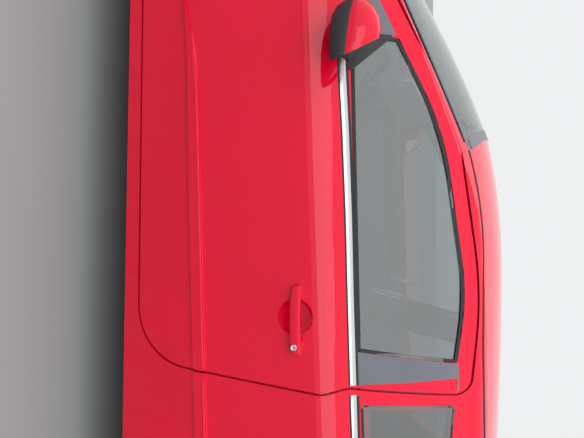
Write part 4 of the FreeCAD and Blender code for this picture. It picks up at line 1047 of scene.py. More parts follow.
LOCK_PLACE = Vector((0.4680, -0.9050, 0.7975))
LOCK_RADIUS = 0.0090
lock = bmesh.new()
bmesh.ops.create_circle(lock, cap_ends=True, segments=40, radius=LOCK_RADIUS)
for grow, rise in ((0.0, 0.0022), (-0.0012, 0.0006), (-0.0016, -0.0008), (-0.0008, 0.0004)):
    top = max(lock.faces, key=lambda face: face.calc_center_median().z)
    if grow:
        bmesh.ops.inset_region(lock, faces=[top], thickness=-grow)
    if grow == 0.0:
        top = bmesh.ops.extrude_discrete_faces(lock, faces=[top])["faces"][0]
    bmesh.ops.translate(lock, vec=(0, 0, rise), verts=top.verts)
bmesh.ops.rotate(lock, matrix=Matrix.Rotation(math.radians(90), 3, "X"), verts=lock.verts)
bmesh.ops.translate(lock, vec=LOCK_PLACE, verts=lock.verts)
make_piece("door_lock", lock, bright_strip, "left_door")
slit = bmesh.new()
bmesh.ops.create_cube(slit, size=1, matrix=Matrix.Translation(LOCK_PLACE + Vector((0, -0.0026, 0)))
                      @ Matrix.Diagonal((0.0012, 0.0008, 0.0062, 1)))
soften(slit, 0.0002)
make_piece("door_lock_slit", slit, black_plastic, "left_door")

# %% [markdown]
# ## Tyres
# A tyre is one section spun about the axle: beads, a flexed sidewall with two
# moulded rings, a rounded shoulder and a tread with four grooves. The tread's
# ribs are then inset face by face and raised, which leaves the cross grooves
# between the blocks. Each section point is a distance outboard and a radius.

# %% Tyres
WHEEL_PLACES = {"front_left": (-1.245, -0.744), "front_right": (-1.245, 0.744),
                "rear_left": (1.369, -0.744), "rear_right": (1.369, 0.744)}
AXLE_HEIGHT = 0.317
TYRE_STEPS = 90
BLOCK_HEIGHT = 0.0050
HALF_TYRE = [
    (0.0000, 0.3115), (0.0130, 0.3115), (0.0150, 0.3055), (0.0215, 0.3055), (0.0235, 0.3113), (0.0480, 0.3110),
    (0.0500, 0.3050), (0.0565, 0.3050), (0.0585, 0.3106), (0.0760, 0.3098), (0.0880, 0.3075), (0.0970, 0.3030),
    (0.1035, 0.2960), (0.1080, 0.2860), (0.1105, 0.2740), (0.1108, 0.2722), (0.1119, 0.2710), (0.1119, 0.2695),
    (0.1112, 0.2680), (0.1110, 0.2600), (0.1088, 0.2470), (0.1086, 0.2455), (0.1090, 0.2440), (0.1074, 0.2425),
    (0.1010, 0.2330), (0.0950, 0.2265), (0.0905, 0.2225), (0.0885, 0.2175),
]


def spun(section, steps, closed=False):
    """A ring about the Y axis; each section point is a distance outboard and a radius."""
    shape = bmesh.new()
    verts = [shape.verts.new((0, -s, r)) for s, r in section]
    edges = [shape.edges.new(pair) for pair in zip(verts, verts[1:] + (verts[:1] if closed else []))]
    bmesh.ops.spin(shape, geom=verts + edges, cent=(0, 0, 0), axis=(0, 1, 0), angle=2 * math.pi,
                   steps=steps, use_merge=True)
    bmesh.ops.remove_doubles(shape, verts=shape.verts, dist=0.00005)
    bmesh.ops.recalc_face_normals(shape, faces=shape.faces)
    return shape


def placed(shape, place):
    """A copy of a wheel's shape at its axle; the shape looks to the car's left."""
    x, y = place
    copy = mirrored_copy(shape) if y > 0 else shape.copy()
    bmesh.ops.translate(copy, vec=(x, y, AXLE_HEIGHT), verts=copy.verts)
    return copy


tyre = spun([(-s, r) for s, r in reversed(HALF_TYRE)] + HALF_TYRE[1:], TYRE_STEPS)
ribs = []
for face in tyre.faces:
    middle = face.calc_center_median()
    reach = math.hypot(middle.x, middle.z)
    if reach > 0.3088 and abs(middle.y) < 0.0835 and face.calc_area() > 0.00018:
        ribs.append(face)
bmesh.ops.inset_individual(tyre, faces=ribs, thickness=0.0016, depth=BLOCK_HEIGHT, use_even_offset=True)
print("tread blocks", len(ribs))
for name, place in WHEEL_PLACES.items():
    make_piece("tyre_with_tread_" + name, placed(tyre, place), tyre_rubber, name + "_wheel",
               angle=math.radians(32), merge=0.0, replaces="tyre_" + name)
tyre.free()

# %% [markdown]
# ## Rims
# The rim is a spun barrel with rolled flanges, five broad spokes that each have
# a shallow valley down the middle, a stepped hub, five hexagonal bolts and a
# plain domed cap. The brake disc is a spun ring with a bell; it
# turns with the wheel, and its caliper stays on the knuckle or the axle.

# %% Rims
# distance outboard, radius
BARREL = [
    (0.0975, 0.2255), (0.0985, 0.2235), (0.0965, 0.2195), (0.0925, 0.2135), (0.0900, 0.2075), (0.0820, 0.2035),
    (0.0400, 0.1985), (-0.0200, 0.1960), (-0.0800, 0.2010), (-0.0950, 0.2120), (-0.0975, 0.2245),
    (-0.0955, 0.2255), (-0.0900, 0.2165), (-0.0780, 0.2085), (-0.0200, 0.2040), (0.0400, 0.2065),
    (0.0780, 0.2110), (0.0885, 0.2165), (0.0945, 0.2255),
]
# radius, half width, outboard face, valley depth, thickness
SPOKE_TABLE = [
    (0.0420, 0.0350, 0.0640, 0.0005, 0.026), (0.0700, 0.0320, 0.0690, 0.0020, 0.026),
    (0.0950, 0.0280, 0.0745, 0.0055, 0.024), (0.1300, 0.0265, 0.0805, 0.0070, 0.022),
    (0.1650, 0.0290, 0.0855, 0.0060, 0.022), (0.1880, 0.0345, 0.0885, 0.0040, 0.024),
    (0.2065, 0.0430, 0.0895, 0.0015, 0.026),
]
# distance outboard, radius
HUB_FACE = [(0.0600, 0.0), (0.0600, 0.0280), (0.0660, 0.0310), (0.0670, 0.0400), (0.0670, 0.0720),
            (0.0600, 0.0790), (0.0350, 0.0790), (0.0350, 0.0300), (0.0350, 0.0)]
CAP_FACE = [(0.0720, 0.0), (0.0718, 0.0080), (0.0708, 0.0170), (0.0690, 0.0240), (0.0660, 0.0275),
            (0.0600, 0.0278), (0.0595, 0.0)]
BOLT_CIRCLE = 0.056
BOLT_REACH = 0.0640
BOLT_HEAD_RADIUS = 0.0092
DISC = [(0.0300, 0.0), (0.0300, 0.0700), (0.0020, 0.0720), (0.0020, 0.1280), (-0.0230, 0.1280),
        (-0.0230, 0.0800), (-0.0180, 0.0700), (0.0240, 0.0650), (0.0240, 0.0)]


def spoke_row(radius, half, face, valley, thickness):
    back = face - thickness
    return [Vector((a, -s, radius)) for a, s in (
        (-half, face - 0.006), (-half + 0.005, face), (-half * 0.45, face - valley * 0.6), (0, face - valley),
        (half * 0.45, face - valley * 0.6), (half - 0.005, face), (half, face - 0.006), (half * 0.8, back),
        (-half * 0.8, back))]


spoke_rows = []
for radius in spread(0.042, 0.2065, 12):
    spoke_rows.append(spoke_row(radius, *[along(SPOKE_TABLE, radius, column) for column in (1, 2, 3, 4)]))
spoke = lofted(spoke_rows)
soften(spoke, 0.0016, 2, math.radians(35))
rim = spun(BARREL, 80, closed=True)
for i in range(5):
    joined(rim, spoke, Matrix.Rotation(2 * math.pi * i / 5, 4, "Y"))
joined(rim, spun(HUB_FACE, 48))
bolts = bmesh.new()
for i in range(5):
    turn = 2 * math.pi * (i + 0.5) / 5
    here = Matrix.Rotation(turn, 4, "Y") @ Matrix.Translation((0, -BOLT_REACH, BOLT_CIRCLE))
    head = bmesh.new()
    add_cone(head, 6, BOLT_HEAD_RADIUS, BOLT_HEAD_RADIUS, 0.012, turned(90, "X"))
    soften(head, 0.0010)
    joined(bolts, head, here)
    head.free()
cap = spun(CAP_FACE, 40)
disc = spun(DISC, 64)
for name, place in WHEEL_PLACES.items():
    body = name + "_wheel"
    make_piece("rim_cast_" + name, placed(rim, place), alloy, body, angle=math.radians(35),
               replaces="rim_" + name)
    make_piece("wheel_bolts_" + name, placed(bolts, place), disc_steel, body)
    make_piece("hub_cap_" + name, placed(cap, place), alloy, body)
    make_piece("brake_disc_" + name, placed(disc, place), disc_steel, body)
for shape in (spoke, rim, bolts, cap, disc):
    shape.free()

# %% [markdown]
# ## Lamps
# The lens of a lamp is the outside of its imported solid: the faces that see open
# air. They are copied, given a thickness and a clear or red finish, and behind
# them goes a dark housing, which is the solid itself, a little smaller and
# pulled back.

# %% Lamps
LENS_THICKNESS = 0.003
CLOSE = 0.05
LAMP_NEIGHBOURS = [node_tree_of(name) for name in (
    "bonnet", "front_bumper", "rear_bumper", "front_wings", "tailgate", "grille", "body_side_left",
    "body_side_right", "front_structure", "floor_pan")]


def outside_faces(node_name):
    """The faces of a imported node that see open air, as a bmesh."""
    shape = bmesh.new()
    shape.from_mesh(NODES[node_name].data)
    bmesh.ops.remove_doubles(shape, verts=shape.verts, dist=0.00002)
    own = node_tree_of(node_name)
    hidden = []
    for face in shape.faces:
        middle = face.calc_center_median()
        start = middle + face.normal * 0.0005
        blocked = any(tree.ray_cast(start, face.normal, CLOSE)[0] is not None
                      for tree in LAMP_NEIGHBOURS + [own])
        inward = face.normal.y * middle.y < -0.2 * abs(middle.y)
        if blocked or inward or abs(face.normal.z) > 0.93 or face.normal.x * middle.x < -0.05:
            hidden.append(face)
    bmesh.ops.delete(shape, geom=hidden, context="FACES")
    return shape


def lens(node_name):
    shape = outside_faces(node_name)
    bmesh.ops.solidify(shape, geom=shape.faces[:], thickness=LENS_THICKNESS)
    bmesh.ops.recalc_face_normals(shape, faces=shape.faces)
    return shape


def pulled_back(node_name, shift, shrink=0.94):
    """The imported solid, a little smaller and moved away from its lens on both sides."""
    shape = bmesh.new()
    shape.from_mesh(NODES[node_name].data)
    bmesh.ops.remove_doubles(shape, verts=shape.verts, dist=0.00002)
    for sign in (-1, 1):
        half = [vertex for vertex in shape.verts if vertex.co.y * sign > 0]
        middle = sum((vertex.co for vertex in half), Vector()) / len(half)
        for vertex in half:
            vertex.co = middle + (vertex.co - middle) * shrink + Vector((shift, -sign * abs(shift) * 0.8, 0))
    return shape


for stem, node_name, glass, shift, backing in (("headlamp", "headlamps", lamp_glass, 0.026, black_plastic),
                                               ("tail_lamp", "tail_lamps", tail_glass, -0.020, dark_red)):
    make_piece(stem + "_lens", lens(node_name), glass, "shell", replaces=node_name)
    make_piece(stem + "_housing", pulled_back(node_name, shift), backing, "shell", replaces=node_name)

# %% [markdown]
# ## Padded seats
# The seats are soft goods, so they are blown up by the cloth simulation. A seat
# part starts as a closed block from sections across its width, thinner than the
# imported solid. It is remeshed to small even faces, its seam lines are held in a
# vertex group, and a little pressure swells the cloth between them. The swell
# has a limit, so that a seat stays in the room that its solid holds.

# %% The padding routine
PRESSURE = 4.0
SIM_FRAMES = 20
MOST_SWELL = 0.022
SEAM_HALF_WIDTH = 0.007
SEAT_ANGLE = math.radians(60)


def baked(pad):
    """Replaces a mesh by what its modifiers make of it, and removes them."""
    graph = bpy.context.evaluated_depsgraph_get()
    mesh = bpy.data.meshes.new_from_object(pad.evaluated_get(graph))
    pad.modifiers.clear()
    pad.data = mesh


def puffed(shape, voxel, seams):
    """A closed block as a padded form. Each seam is an axis number and a place on it."""
    mesh = bpy.data.meshes.new("pad")
    shape.to_mesh(mesh)
    shape.free()
    pad = bpy.data.objects.new("pad", mesh)
    bpy.context.scene.collection.objects.link(pad)
    remesh = pad.modifiers.new("remesh", "REMESH")
    remesh.mode = "VOXEL"
    remesh.voxel_size = voxel
    baked(pad)
    start = [vertex.co.copy() for vertex in pad.data.vertices]
    held = pad.vertex_groups.new(name="seams")
    for vertex in pad.data.vertices:
        if any(abs(vertex.co[axis] - place) < SEAM_HALF_WIDTH for axis, place in seams):
            held.add([vertex.index], 1.0, "REPLACE")
    cloth = pad.modifiers.new("cloth", "CLOTH")
    cloth.settings.use_pressure = True
    cloth.settings.uniform_pressure_force = PRESSURE
    cloth.settings.effector_weights.gravity = 0
    cloth.settings.vertex_group_mass = "seams"
    cloth.point_cache.frame_start = 1
    cloth.point_cache.frame_end = SIM_FRAMES
    for frame in range(1, SIM_FRAMES + 1):
        bpy.context.scene.frame_set(frame)
    baked(pad)
    for vertex, before in zip(pad.data.vertices, start):
        moved = vertex.co - before
        if moved.length > MOST_SWELL:
            vertex.co = before + moved * (MOST_SWELL / moved.length)
    bpy.context.scene.frame_set(1)
    result = bmesh.new()
    result.from_mesh(pad.data)
    bpy.data.objects.remove(pad)
    bmesh.ops.smooth_vert(result, verts=result.verts, factor=0.4, use_axis_x=True, use_axis_y=True,
                          use_axis_z=True)
    print("padded form", len(result.faces), "faces")
    return result


def seat_block(rows, outline):
    """Sections across the seat: each row is a Y, a rise and a squeeze of the side view's outline."""
    middle_x = sum(x for x, z in outline) / len(outline)
    middle_z = sum(z for x, z in outline) / len(outline)
    return lofted([[Vector((middle_x + (x - middle_x) * squeeze, y,
                            middle_z + (z - middle_z) * squeeze + rise)) for x, z in outline]
                   for y, rise, squeeze in rows])


def rounded_outline(corners, steps=5):
    """The side view's outline with its corners cut by arcs, as a list of x and z."""
    points = []
    count = len(corners)
    for i, (x, z, radius) in enumerate(corners):
        here = Vector((x, z))
        back = Vector(corners[i - 1][:2]) - here
        ahead = Vector(corners[(i + 1) % count][:2]) - here
        reach = min(radius, 0.45 * back.length, 0.45 * ahead.length)
        start, end = here + back.normalized() * reach, here + ahead.normalized() * reach
        for k in range(steps):
            t = k / (steps - 1)
            point = start * (1 - t) ** 2 + here * 2 * t * (1 - t) + end * t ** 2
            points.append((point.x, point.y))
    return points


# %% [markdown]
# ## Front seats
# Each front seat has a cushion with raised sides, a back with side bolsters, a
# head restraint on two posts, and a plastic base. Two long seams and one cross
# seam hold the cloth of the cushion and of the back, with the paler insert
# between the long ones.

# %% Front seats
# x, z, corner radius
CUSHION = [(-0.325, 0.345, 0.05), (-0.330, 0.445, 0.07), (-0.200, 0.447, 0.08), (0.070, 0.418, 0.05),
           (0.130, 0.350, 0.05)]
BACK = [(0.105, 0.445, 0.06), (0.190, 0.640, 0.20), (0.288, 0.930, 0.05), (0.318, 0.968, 0.03),
        (0.372, 0.962, 0.03), (0.372, 0.900, 0.10), (0.288, 0.560, 0.20), (0.225, 0.400, 0.06)]
HEAD = [(0.312, 1.030, 0.03), (0.340, 1.142, 0.03), (0.402, 1.136, 0.03), (0.382, 1.022, 0.03)]
# x, z
BASE = [(-0.285, 0.240), (-0.300, 0.335), (0.150, 0.345), (0.185, 0.300), (0.185, 0.240)]
VOXEL = 0.009
HEAD_VOXEL = 0.007
POST_SPACING = 0.12
# Stations across half a seat part, as shares of its half width
SEAT_SHARES = (0.0, 0.55, 0.72, 0.88, 0.97, 1.0)
BENCH_SHARES = (0.1, 0.5, 0.92, 0.98, 1.0)


def across(middle, half, rise, edge_squeeze, shares=SEAT_SHARES):
    """Stations across a seat part: bolsters rise towards both sides and end in a narrower face."""
    rows = []
    for share in sorted({sign * share for share in shares for sign in (1, -1)}):
        bolster = max(0.0, (abs(share) - 0.5) / 0.38)
        lift = rise * min(1.0, bolster) * (1.0 if abs(share) < 0.95 else 0.5)
        squeeze = {shares[-1]: edge_squeeze, shares[-2]: (1 + edge_squeeze) / 2}.get(abs(share), 1.0)
        rows.append((middle + half * share, lift, squeeze))
    return rows


cushion = puffed(seat_block(across(SEAT_MIDDLE, 0.232, 0.018, 0.80), rounded_outline(CUSHION)), VOXEL,
                 [(1, SEAT_MIDDLE - 0.140), (1, SEAT_MIDDLE + 0.140), (0, -0.190)])
backrest = puffed(seat_block(across(SEAT_MIDDLE, 0.228, 0.004, 0.84), rounded_outline(BACK)), VOXEL,
                  [(1, SEAT_MIDDLE - 0.135), (1, SEAT_MIDDLE + 0.135), (2, 0.780)])
head = puffed(seat_block(across(SEAT_MIDDLE, 0.118, 0.0, 0.80), rounded_outline(HEAD)), HEAD_VOXEL, [])
base = seat_block(across(SEAT_MIDDLE, 0.205, 0.0, 0.97), BASE)
soften(base, 0.010, 3)
posts = bmesh.new()
for side in (-POST_SPACING / 2, POST_SPACING / 2):
    foot = Matrix.Translation((0.348, SEAT_MIDDLE + side, 1.000))
    add_cone(posts, 20, 0.006, 0.006, 0.120, foot @ turned(12, "Y"))
for name, shape, fill in (("seat_cushion", cushion, 0.8), ("seat_back", backrest, 0.8),
                          ("head_restraint", head, 0.9)):
    both_sides(name, shape, seat_cloth, "shell", angle=SEAT_ANGLE, fill=fill, replaces="front_seats")
both_sides("seat_base", base, dash_skin, "shell", replaces="front_seats")
both_sides("seat_posts", posts, bright_strip, "shell", replaces="front_seats")

# %% [markdown]
# ## Rear seat
# The bench and its back cross the whole car. Seams part the two places and the
# narrow middle, and one more runs across the bench.

# %% Rear seat
BENCH = [(0.615, 0.415, 0.03), (0.612, 0.505, 0.06), (0.995, 0.480, 0.05), (1.060, 0.600, 0.05),
         (1.120, 0.560, 0.05), (1.080, 0.415, 0.03)]
REAR_BACK = [(1.030, 0.540, 0.05), (1.132, 0.925, 0.05), (1.205, 0.920, 0.04), (1.160, 0.540, 0.05)]
BENCH_HALF_WIDTH = 0.568
BENCH_VOXEL = 0.012
LONG_SEAMS = [(1, -0.42), (1, -0.12), (1, 0.12), (1, 0.42)]
for name, outline, cross_seams in (("rear_bench", BENCH, [(0, 0.760)]), ("rear_backrest", REAR_BACK, [])):
    rows = across(0.0, BENCH_HALF_WIDTH, 0.0, 0.85, BENCH_SHARES)
    pad = puffed(seat_block(rows, rounded_outline(outline)), BENCH_VOXEL, LONG_SEAMS + cross_seams)
    make_piece(name, pad, seat_cloth, "shell", angle=SEAT_ANGLE, fill=0.8, replaces="rear_seat")

# %% [markdown]
# ## Lamp internals
# Each headlamp holds a reflector bowl with a projector eye, and a smaller bowl
# for the main beam beside it. Each tail lamp holds two round bowls. A bowl is a
# spun dish that faces along the car.

# %% Lamp internals
# distance along the car, radius
BOWL = [(0.0, 0.010), (-0.004, 0.020), (-0.012, 0.032), (-0.026, 0.042), (-0.027, 0.046), (-0.020, 0.047),
        (0.006, 0.030), (0.010, 0.010)]
EYE = [(-0.020, 0.0005), (-0.0185, 0.010), (-0.013, 0.019), (-0.004, 0.0245), (0.004, 0.0255), (0.004, 0.0005)]


def facing(section, place, size=1.0, backward=False, steps=40):
    """A dish whose opening faces along the car: forward, or back."""
    dish = spun([(-s * size, r * size) for s, r in section], steps, closed=True)
    turn = math.radians(90 if backward else -90)
    bmesh.ops.rotate(dish, matrix=Matrix.Rotation(turn, 3, "Z"), verts=dish.verts)
    bmesh.ops.translate(dish, vec=place, verts=dish.verts)
    return dish


def depth_at(node_name, y, z, forward):
    """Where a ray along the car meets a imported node, from the front or from behind."""
    way = Vector((1 if forward else -1, 0, 0))
    return node_tree_of(node_name).ray_cast(Vector((0, y, z)) - way * 4, way)[0].x


# name, section, y, z, size, finish
HEADLAMP_DISHES = [("headlamp_bowl", BOWL, -0.515, 0.655, 0.80, bright_strip),
                   ("headlamp_eye", EYE, -0.515, 0.655, 0.80, mirror_glass),
                   ("main_beam_bowl", BOWL, -0.445, 0.640, 0.62, bright_strip)]
HEADLAMP_SETBACK = 0.036
TAIL_BOWL_Y = -0.690
TAIL_BOWL_SETBACK = 0.028
for label, section, y, z, size, finish in HEADLAMP_DISHES:
    x = depth_at("headlamps", y, z, True) + HEADLAMP_SETBACK
    both_sides(label, facing(section, (x, y, z), size), finish, "shell", slot="alloy")
for label, z in (("tail_lamp_upper", 0.895), ("tail_lamp_lower", 0.800)):
    x = depth_at("tail_lamps", TAIL_BOWL_Y, z, False) - TAIL_BOWL_SETBACK
    both_sides(label, facing(BOWL, (x, TAIL_BOWL_Y, z), 0.80, True), alloy, "shell")

# %% [markdown]
# ## Skin seen from above
# Wipers, roof strips and the windscreen's black border lie on panels that look
# up, so their places are found by a ray straight down.

# %% Skin from above
TOP_TREES = [node_tree_of(name) for name in ("roof_panel", "windscreen", "bonnet", "tailgate", "tailgate_glass",
                                             "scuttle", "body_side_left", "body_side_right")]


def skin_top(x, y):
    """The height of the car's upper skin at a place of the plan, and its normal."""
    best = None
    for tree in TOP_TREES:
        hit, normal, _, _ = tree.ray_cast(Vector((x, y, 3)), Vector((0, 0, -1)))
        if hit is not None and (best is None or hit.z > best[0].z):
            best = (hit, normal if normal.z > 0 else -normal)
    return best


def strip_over(points, width, proud, depth, crown=0.0):
    """A strip on the upper skin along points of the plan, with a crowned top."""
    sections = []
    for i, (x, y) in enumerate(points):
        ahead = Vector(points[min(i + 1, len(points) - 1)]) - Vector(points[max(i - 1, 0)])
        aside = Vector((-ahead.y, ahead.x, 0)).normalized() * (width / 2)
        hit, normal = skin_top(x, y)
        here = Vector((x, y, hit.z))
        aside = aside - normal * aside.dot(normal)
        sections.append([here + aside + normal * (proud - depth), here + aside + normal * proud,
                         here + normal * (proud + crown), here - aside + normal * proud,
                         here - aside + normal * (proud - depth)])
    return lofted(sections)


# %% [markdown]
# ## Windscreen border, wipers and roof strips
# A black printed border runs round the windscreen just above the glass. Two
# wipers park along its foot: each is a spine with a rubber blade, and an arm
# that tapers to its pivot. Rubber strips cover the joints at both sides of the
# roof.

# %% Windscreen and roof trim
def plan_line(corners, count):
    """Evenly spaced points along straight runs of the plan."""
    lengths = [(Vector(b) - Vector(a)).length for a, b in zip(corners, corners[1:])]
    points = []
    for i in range(count):
        reach = sum(lengths) * i / (count - 1)
        for (a, b), length in zip(zip(corners, corners[1:]), lengths):
            if reach <= length + 1e-9:
                share = reach / length
                points.append((a[0] + (b[0] - a[0]) * share, a[1] + (b[1] - a[1]) * share))
                break
            reach -= length
    return points


def bowed(a, b, bow, count):
    """Points of a plan curve from a to b that bulges along X by bow."""
    return [(a[0] + (b[0] - a[0]) * t + bow * 4 * t * (1 - t), a[1] + (b[1] - a[1]) * t)
            for t in spread(0.0, 1.0, count)]


BORDER = 0.042
SIDE_BORDER = 0.032
BORDER_PROUD = 0.0008
BORDER_DEPTH = 0.0030
for label, points in (("screen_border_top", bowed((-0.176, -0.520), (-0.176, 0.520), -0.098, 40)),
                      ("screen_border_foot", bowed((-0.868, -0.725), (-0.868, 0.725), -0.128, 40))):
    make_piece(label, strip_over(points, BORDER, BORDER_PROUD, BORDER_DEPTH), pillar_black, "shell")
screen_side = plan_line([(-0.835, -0.738), (-0.605, -0.681), (-0.190, -0.545)], 30)
side_border = strip_over(screen_side, SIDE_BORDER, BORDER_PROUD, BORDER_DEPTH)
both_sides("screen_border_side", side_border, pillar_black, "shell")
roof_joint = plan_line([(-0.150, -0.548), (0.500, -0.560), (1.560, -0.512)], 44)
both_sides("roof_strip", strip_over(roof_joint, 0.012, 0.0016, 0.0050, 0.0008), rubber_and_painted_shadow, "shell")

# share of the arm's length, half width, thickness
WIPER_ARM = [(0.0, 0.011, 0.010), (0.06, 0.012, 0.011), (0.35, 0.009, 0.008), (0.95, 0.0045, 0.005),
             (1.0, 0.004, 0.004)]


def wiper(pivot, tip_a, tip_b, grip):
    """Blade and arm of a wiper, from the pivot and the blade's two ends in plan."""
    blade = strip_over(plan_line([tip_a, tip_b], 26), 0.010, 0.0165, 0.0160)
    spine = strip_over(plan_line([tip_a, tip_b], 26), 0.0055, 0.0215, 0.0060, 0.001)
    hit, normal = skin_top(*pivot)
    foot = Vector((pivot[0], pivot[1], hit.z)) + normal * 0.012
    hold, up = skin_top(*grip)
    end = Vector((grip[0], grip[1], hold.z)) + up * 0.024
    way = (end - foot).normalized()
    aside = way.cross(Vector((0, 0, 1))).normalized()
    sections = []
    for share, half, thick in WIPER_ARM:
        here = foot.lerp(end, share) + Vector((0, 0, 0.010 * math.sin(math.pi * share)))
        rise = aside.cross(way).normalized() * (thick / 2)
        sections.append([here + aside * half - rise, here + aside * half * 0.7 + rise,
                         here - aside * half * 0.7 + rise, here - aside * half - rise])
    arm = lofted(sections)
    joined(arm, blade)
    joined(arm, spine)
    add_cone(arm, 28, 0.015, 0.012, 0.014, Matrix.Translation(foot))
    soften(arm, 0.0008)
    return arm


# name, pivot, the blade's two ends, where the arm grips it
for name, *places in (("wiper_left", (-0.950, -0.400), (-0.800, -0.640), (-0.945, -0.060), (-0.905, -0.220)),
                      ("wiper_right", (-0.985, 0.080), (-0.905, -0.020), (-0.845, 0.560), (-0.905, 0.270))):
    make_piece(name, wiper(*places), black_plastic, "shell")

# %% [markdown]
# ## Cabin details
# Through the glass one sees the mirror on the windscreen, the hood over the
# instruments, round air vents, the wheel's pad, the gear lever and the console
# on the tunnel.

# %% Cabin
CABIN_MIRROR_X = -0.330
MIRROR_HANG = 0.085
# y, z
MIRROR_BACK = [(0.115, -0.022), (0.120, 0.0), (0.110, 0.026), (-0.110, 0.026), (-0.120, 0.0), (-0.115, -0.022)]
MIRROR_FACE = [(0.110, -0.019), (0.115, 0.0), (0.106, 0.022), (-0.106, 0.022), (-0.115, 0.0), (-0.110, -0.019)]
mirror_top = skin_top(CABIN_MIRROR_X, 0.0)[0].z
mirror_z = mirror_top - MIRROR_HANG
stem = lofted([[Vector((CABIN_MIRROR_X + dx * w, dy * w, mirror_top - 0.012 - drop))
                for dx, dy in ((-1, -1), (1, -1), (1, 1), (-1, 1))]
               for w, drop in ((0.016, 0.0), (0.010, 0.012), (0.008, 0.050))])
back = lofted([[Vector((-0.322 + x, size * y, mirror_z + z)) for y, z in MIRROR_BACK]
               for x, size in ((0.0, 1.0), (-0.012, 0.97), (-0.024, 0.84), (-0.030, 0.55))])
joined(back, stem)
soften(back, 0.0025)
make_piece("cabin_mirror", back, dash_skin, "shell")
face = lofted([[Vector((-0.3215 + x, size * y, mirror_z + z * size)) for y, z in MIRROR_FACE]
               for x, size in ((0.0, 1.0), (0.0012, 0.99))])
make_piece("cabin_mirror_glass", face, mirror_glass, "shell")

HOOD_SILL = 0.966
# y from the driver's middle, rise of the hood's top
HOOD_ROWS = [(-0.150, 0.006), (-0.130, 0.026), (-0.080, 0.040), (0.080, 0.040), (0.130, 0.026), (0.150, 0.006)]
hood = lofted([[Vector((-0.700 + x, SEAT_MIDDLE + y, HOOD_SILL + z))
                for x, z in ((-0.060, 0.0), (0.100, 0.0), (0.110, 0.012), (0.060, rise), (-0.020, rise * 0.9))]
               for y, rise in HOOD_ROWS])
soften(hood, 0.006, 3)
make_piece("instrument_hood", hood, dash_skin, "shell")

# distance along the car, radius
VENT = [(0.000, 0.004), (0.000, 0.030), (-0.006, 0.036), (-0.012, 0.037), (-0.012, 0.042), (0.004, 0.044),
        (0.008, 0.040), (0.008, 0.004)]
vents = bmesh.new()
for y in (-0.640, -0.110, 0.110, 0.640):
    dish = facing(VENT, (-0.566, y, 0.858), backward=True, steps=36)
    joined(vents, dish)
    dish.free()
make_piece("air_vents", vents, black_plastic, "shell", slot="dash_plastic")

LEVER_X = -0.300
# radius, height
BOOT = [(0.055, 0.402), (0.048, 0.430), (0.034, 0.470), (0.018, 0.500), (0.009, 0.520), (0.008, 0.585)]
lever = bmesh.new()
knob_place = Matrix.Translation((LEVER_X, 0.0, 0.600)) @ Matrix.Diagonal((1, 0.9, 1.25, 1))
bmesh.ops.create_uvsphere(lever, u_segments=28, v_segments=18, radius=0.024, matrix=knob_place)
joined(lever, lofted([ellipse(LEVER_X, z, w, w * 0.8, 20) for w, z in BOOT]))
make_piece("gear_lever", lever, leather_black, "shell")

# y, z
CONSOLE_FRONT = [(-0.088, 0.395), (-0.080, 0.432), (-0.050, 0.445), (0.050, 0.445), (0.080, 0.432),
                 (0.088, 0.395)]
CONSOLE_REAR = [(-0.088, 0.395), (-0.080, 0.415), (-0.050, 0.420), (0.050, 0.420), (0.080, 0.415),
                (0.088, 0.395)]
# x, lift
REAR_ROWS = [(-0.225, 0.0), (-0.100, 0.0), (-0.060, 0.05), (0.200, 0.07), (0.240, 0.02)]
console = lofted([[Vector((x, y, z)) for y, z in CONSOLE_FRONT] for x in (-0.480, -0.380)])
joined(console, lofted([[Vector((x, y, z + lift)) for y, z in CONSOLE_REAR] for x, lift in REAR_ROWS]))
soften(console, 0.006, 3)
make_piece("centre_console", console, dash_skin, "shell")

# distance outboard, radius
WHEEL_PAD = [(0.030, 0.0005), (0.029, 0.030), (0.024, 0.058), (0.014, 0.074), (0.0, 0.078), (-0.012, 0.076),
             (-0.012, 0.0005)]
pad = spun(WHEEL_PAD, 48, closed=True)
tilt = Matrix.Translation((-0.470, SEAT_MIDDLE, 0.850)) @ turned(-27, "Y") @ turned(90, "Z")
bmesh.ops.transform(pad, matrix=tilt, verts=pad.verts)
make_piece("wheel_pad", pad, leather_black, "shell")

# %% [markdown]
# ## Edges of the side moulding
# The imported door and quarter carry the moulding. Its crest catches the light
# as a thin bright line, so it gets a narrow rounded bead in body paint that
# follows the moulding's edge. Along its foot lies a second narrow bead in black
# rubber: a painted shadow, the thin line of shade that the foot throws. Both
# beads fade towards the front.

# %% Moulding edges
# x, crest height, foot height, share of the full width
MOULDING_EDGES = [
    (-0.540, 0.4290, 0.4200, 0.1), (-0.500, 0.4420, 0.4220, 0.5), (-0.440, 0.4560, 0.4258, 0.9),
    (-0.320, 0.4690, 0.4300, 1.0), (0.087, 0.4860, 0.4456, 1.0), (0.880, 0.5190, 0.4790, 1.0),
]
MOULDING_STAND = 0.008
BEAD_DROP = 0.0105
for run, body, start, end in (("door", "{}_door", -0.535, 0.5540), ("quarter", "shell", 0.5690, 0.8760)):
    crests, feet = [], []
    for x in spread(start, end, 40 if run == "door" else 14):
        crest, foot_z, share = [along(MOULDING_EDGES, x, column) for column in (1, 2, 3)]
        skin = skin_near(x, crest + 0.012)
        out = MOULDING_STAND * share
        crests.append([Vector((x, skin + dy, crest + dz)) for dy, dz in (
            (0.002, 0.0035), (-0.0006, 0.0035), (-out * 0.8, -0.0012), (-out - 0.0004, -0.0050),
            (-out - 0.0002, -BEAD_DROP), (0.002, -BEAD_DROP))])
        low = skin_near(x, foot_z - 0.012)
        feet.append([Vector((x, low + dy, foot_z + dz)) for dy, dz in (
            (-out * 0.55, 0.0005), (0.002, 0.0005), (0.002, -0.0024), (-0.0003, -0.0024))])
    both_sides("moulding_crest_" + run, lofted(crests), body_paint, body, angle=math.radians(50))
    # The foot's bead is black: a painted shadow under the moulding.
    both_sides("moulding_shadow_" + run, lofted(feet), rubber_and_painted_shadow, body)

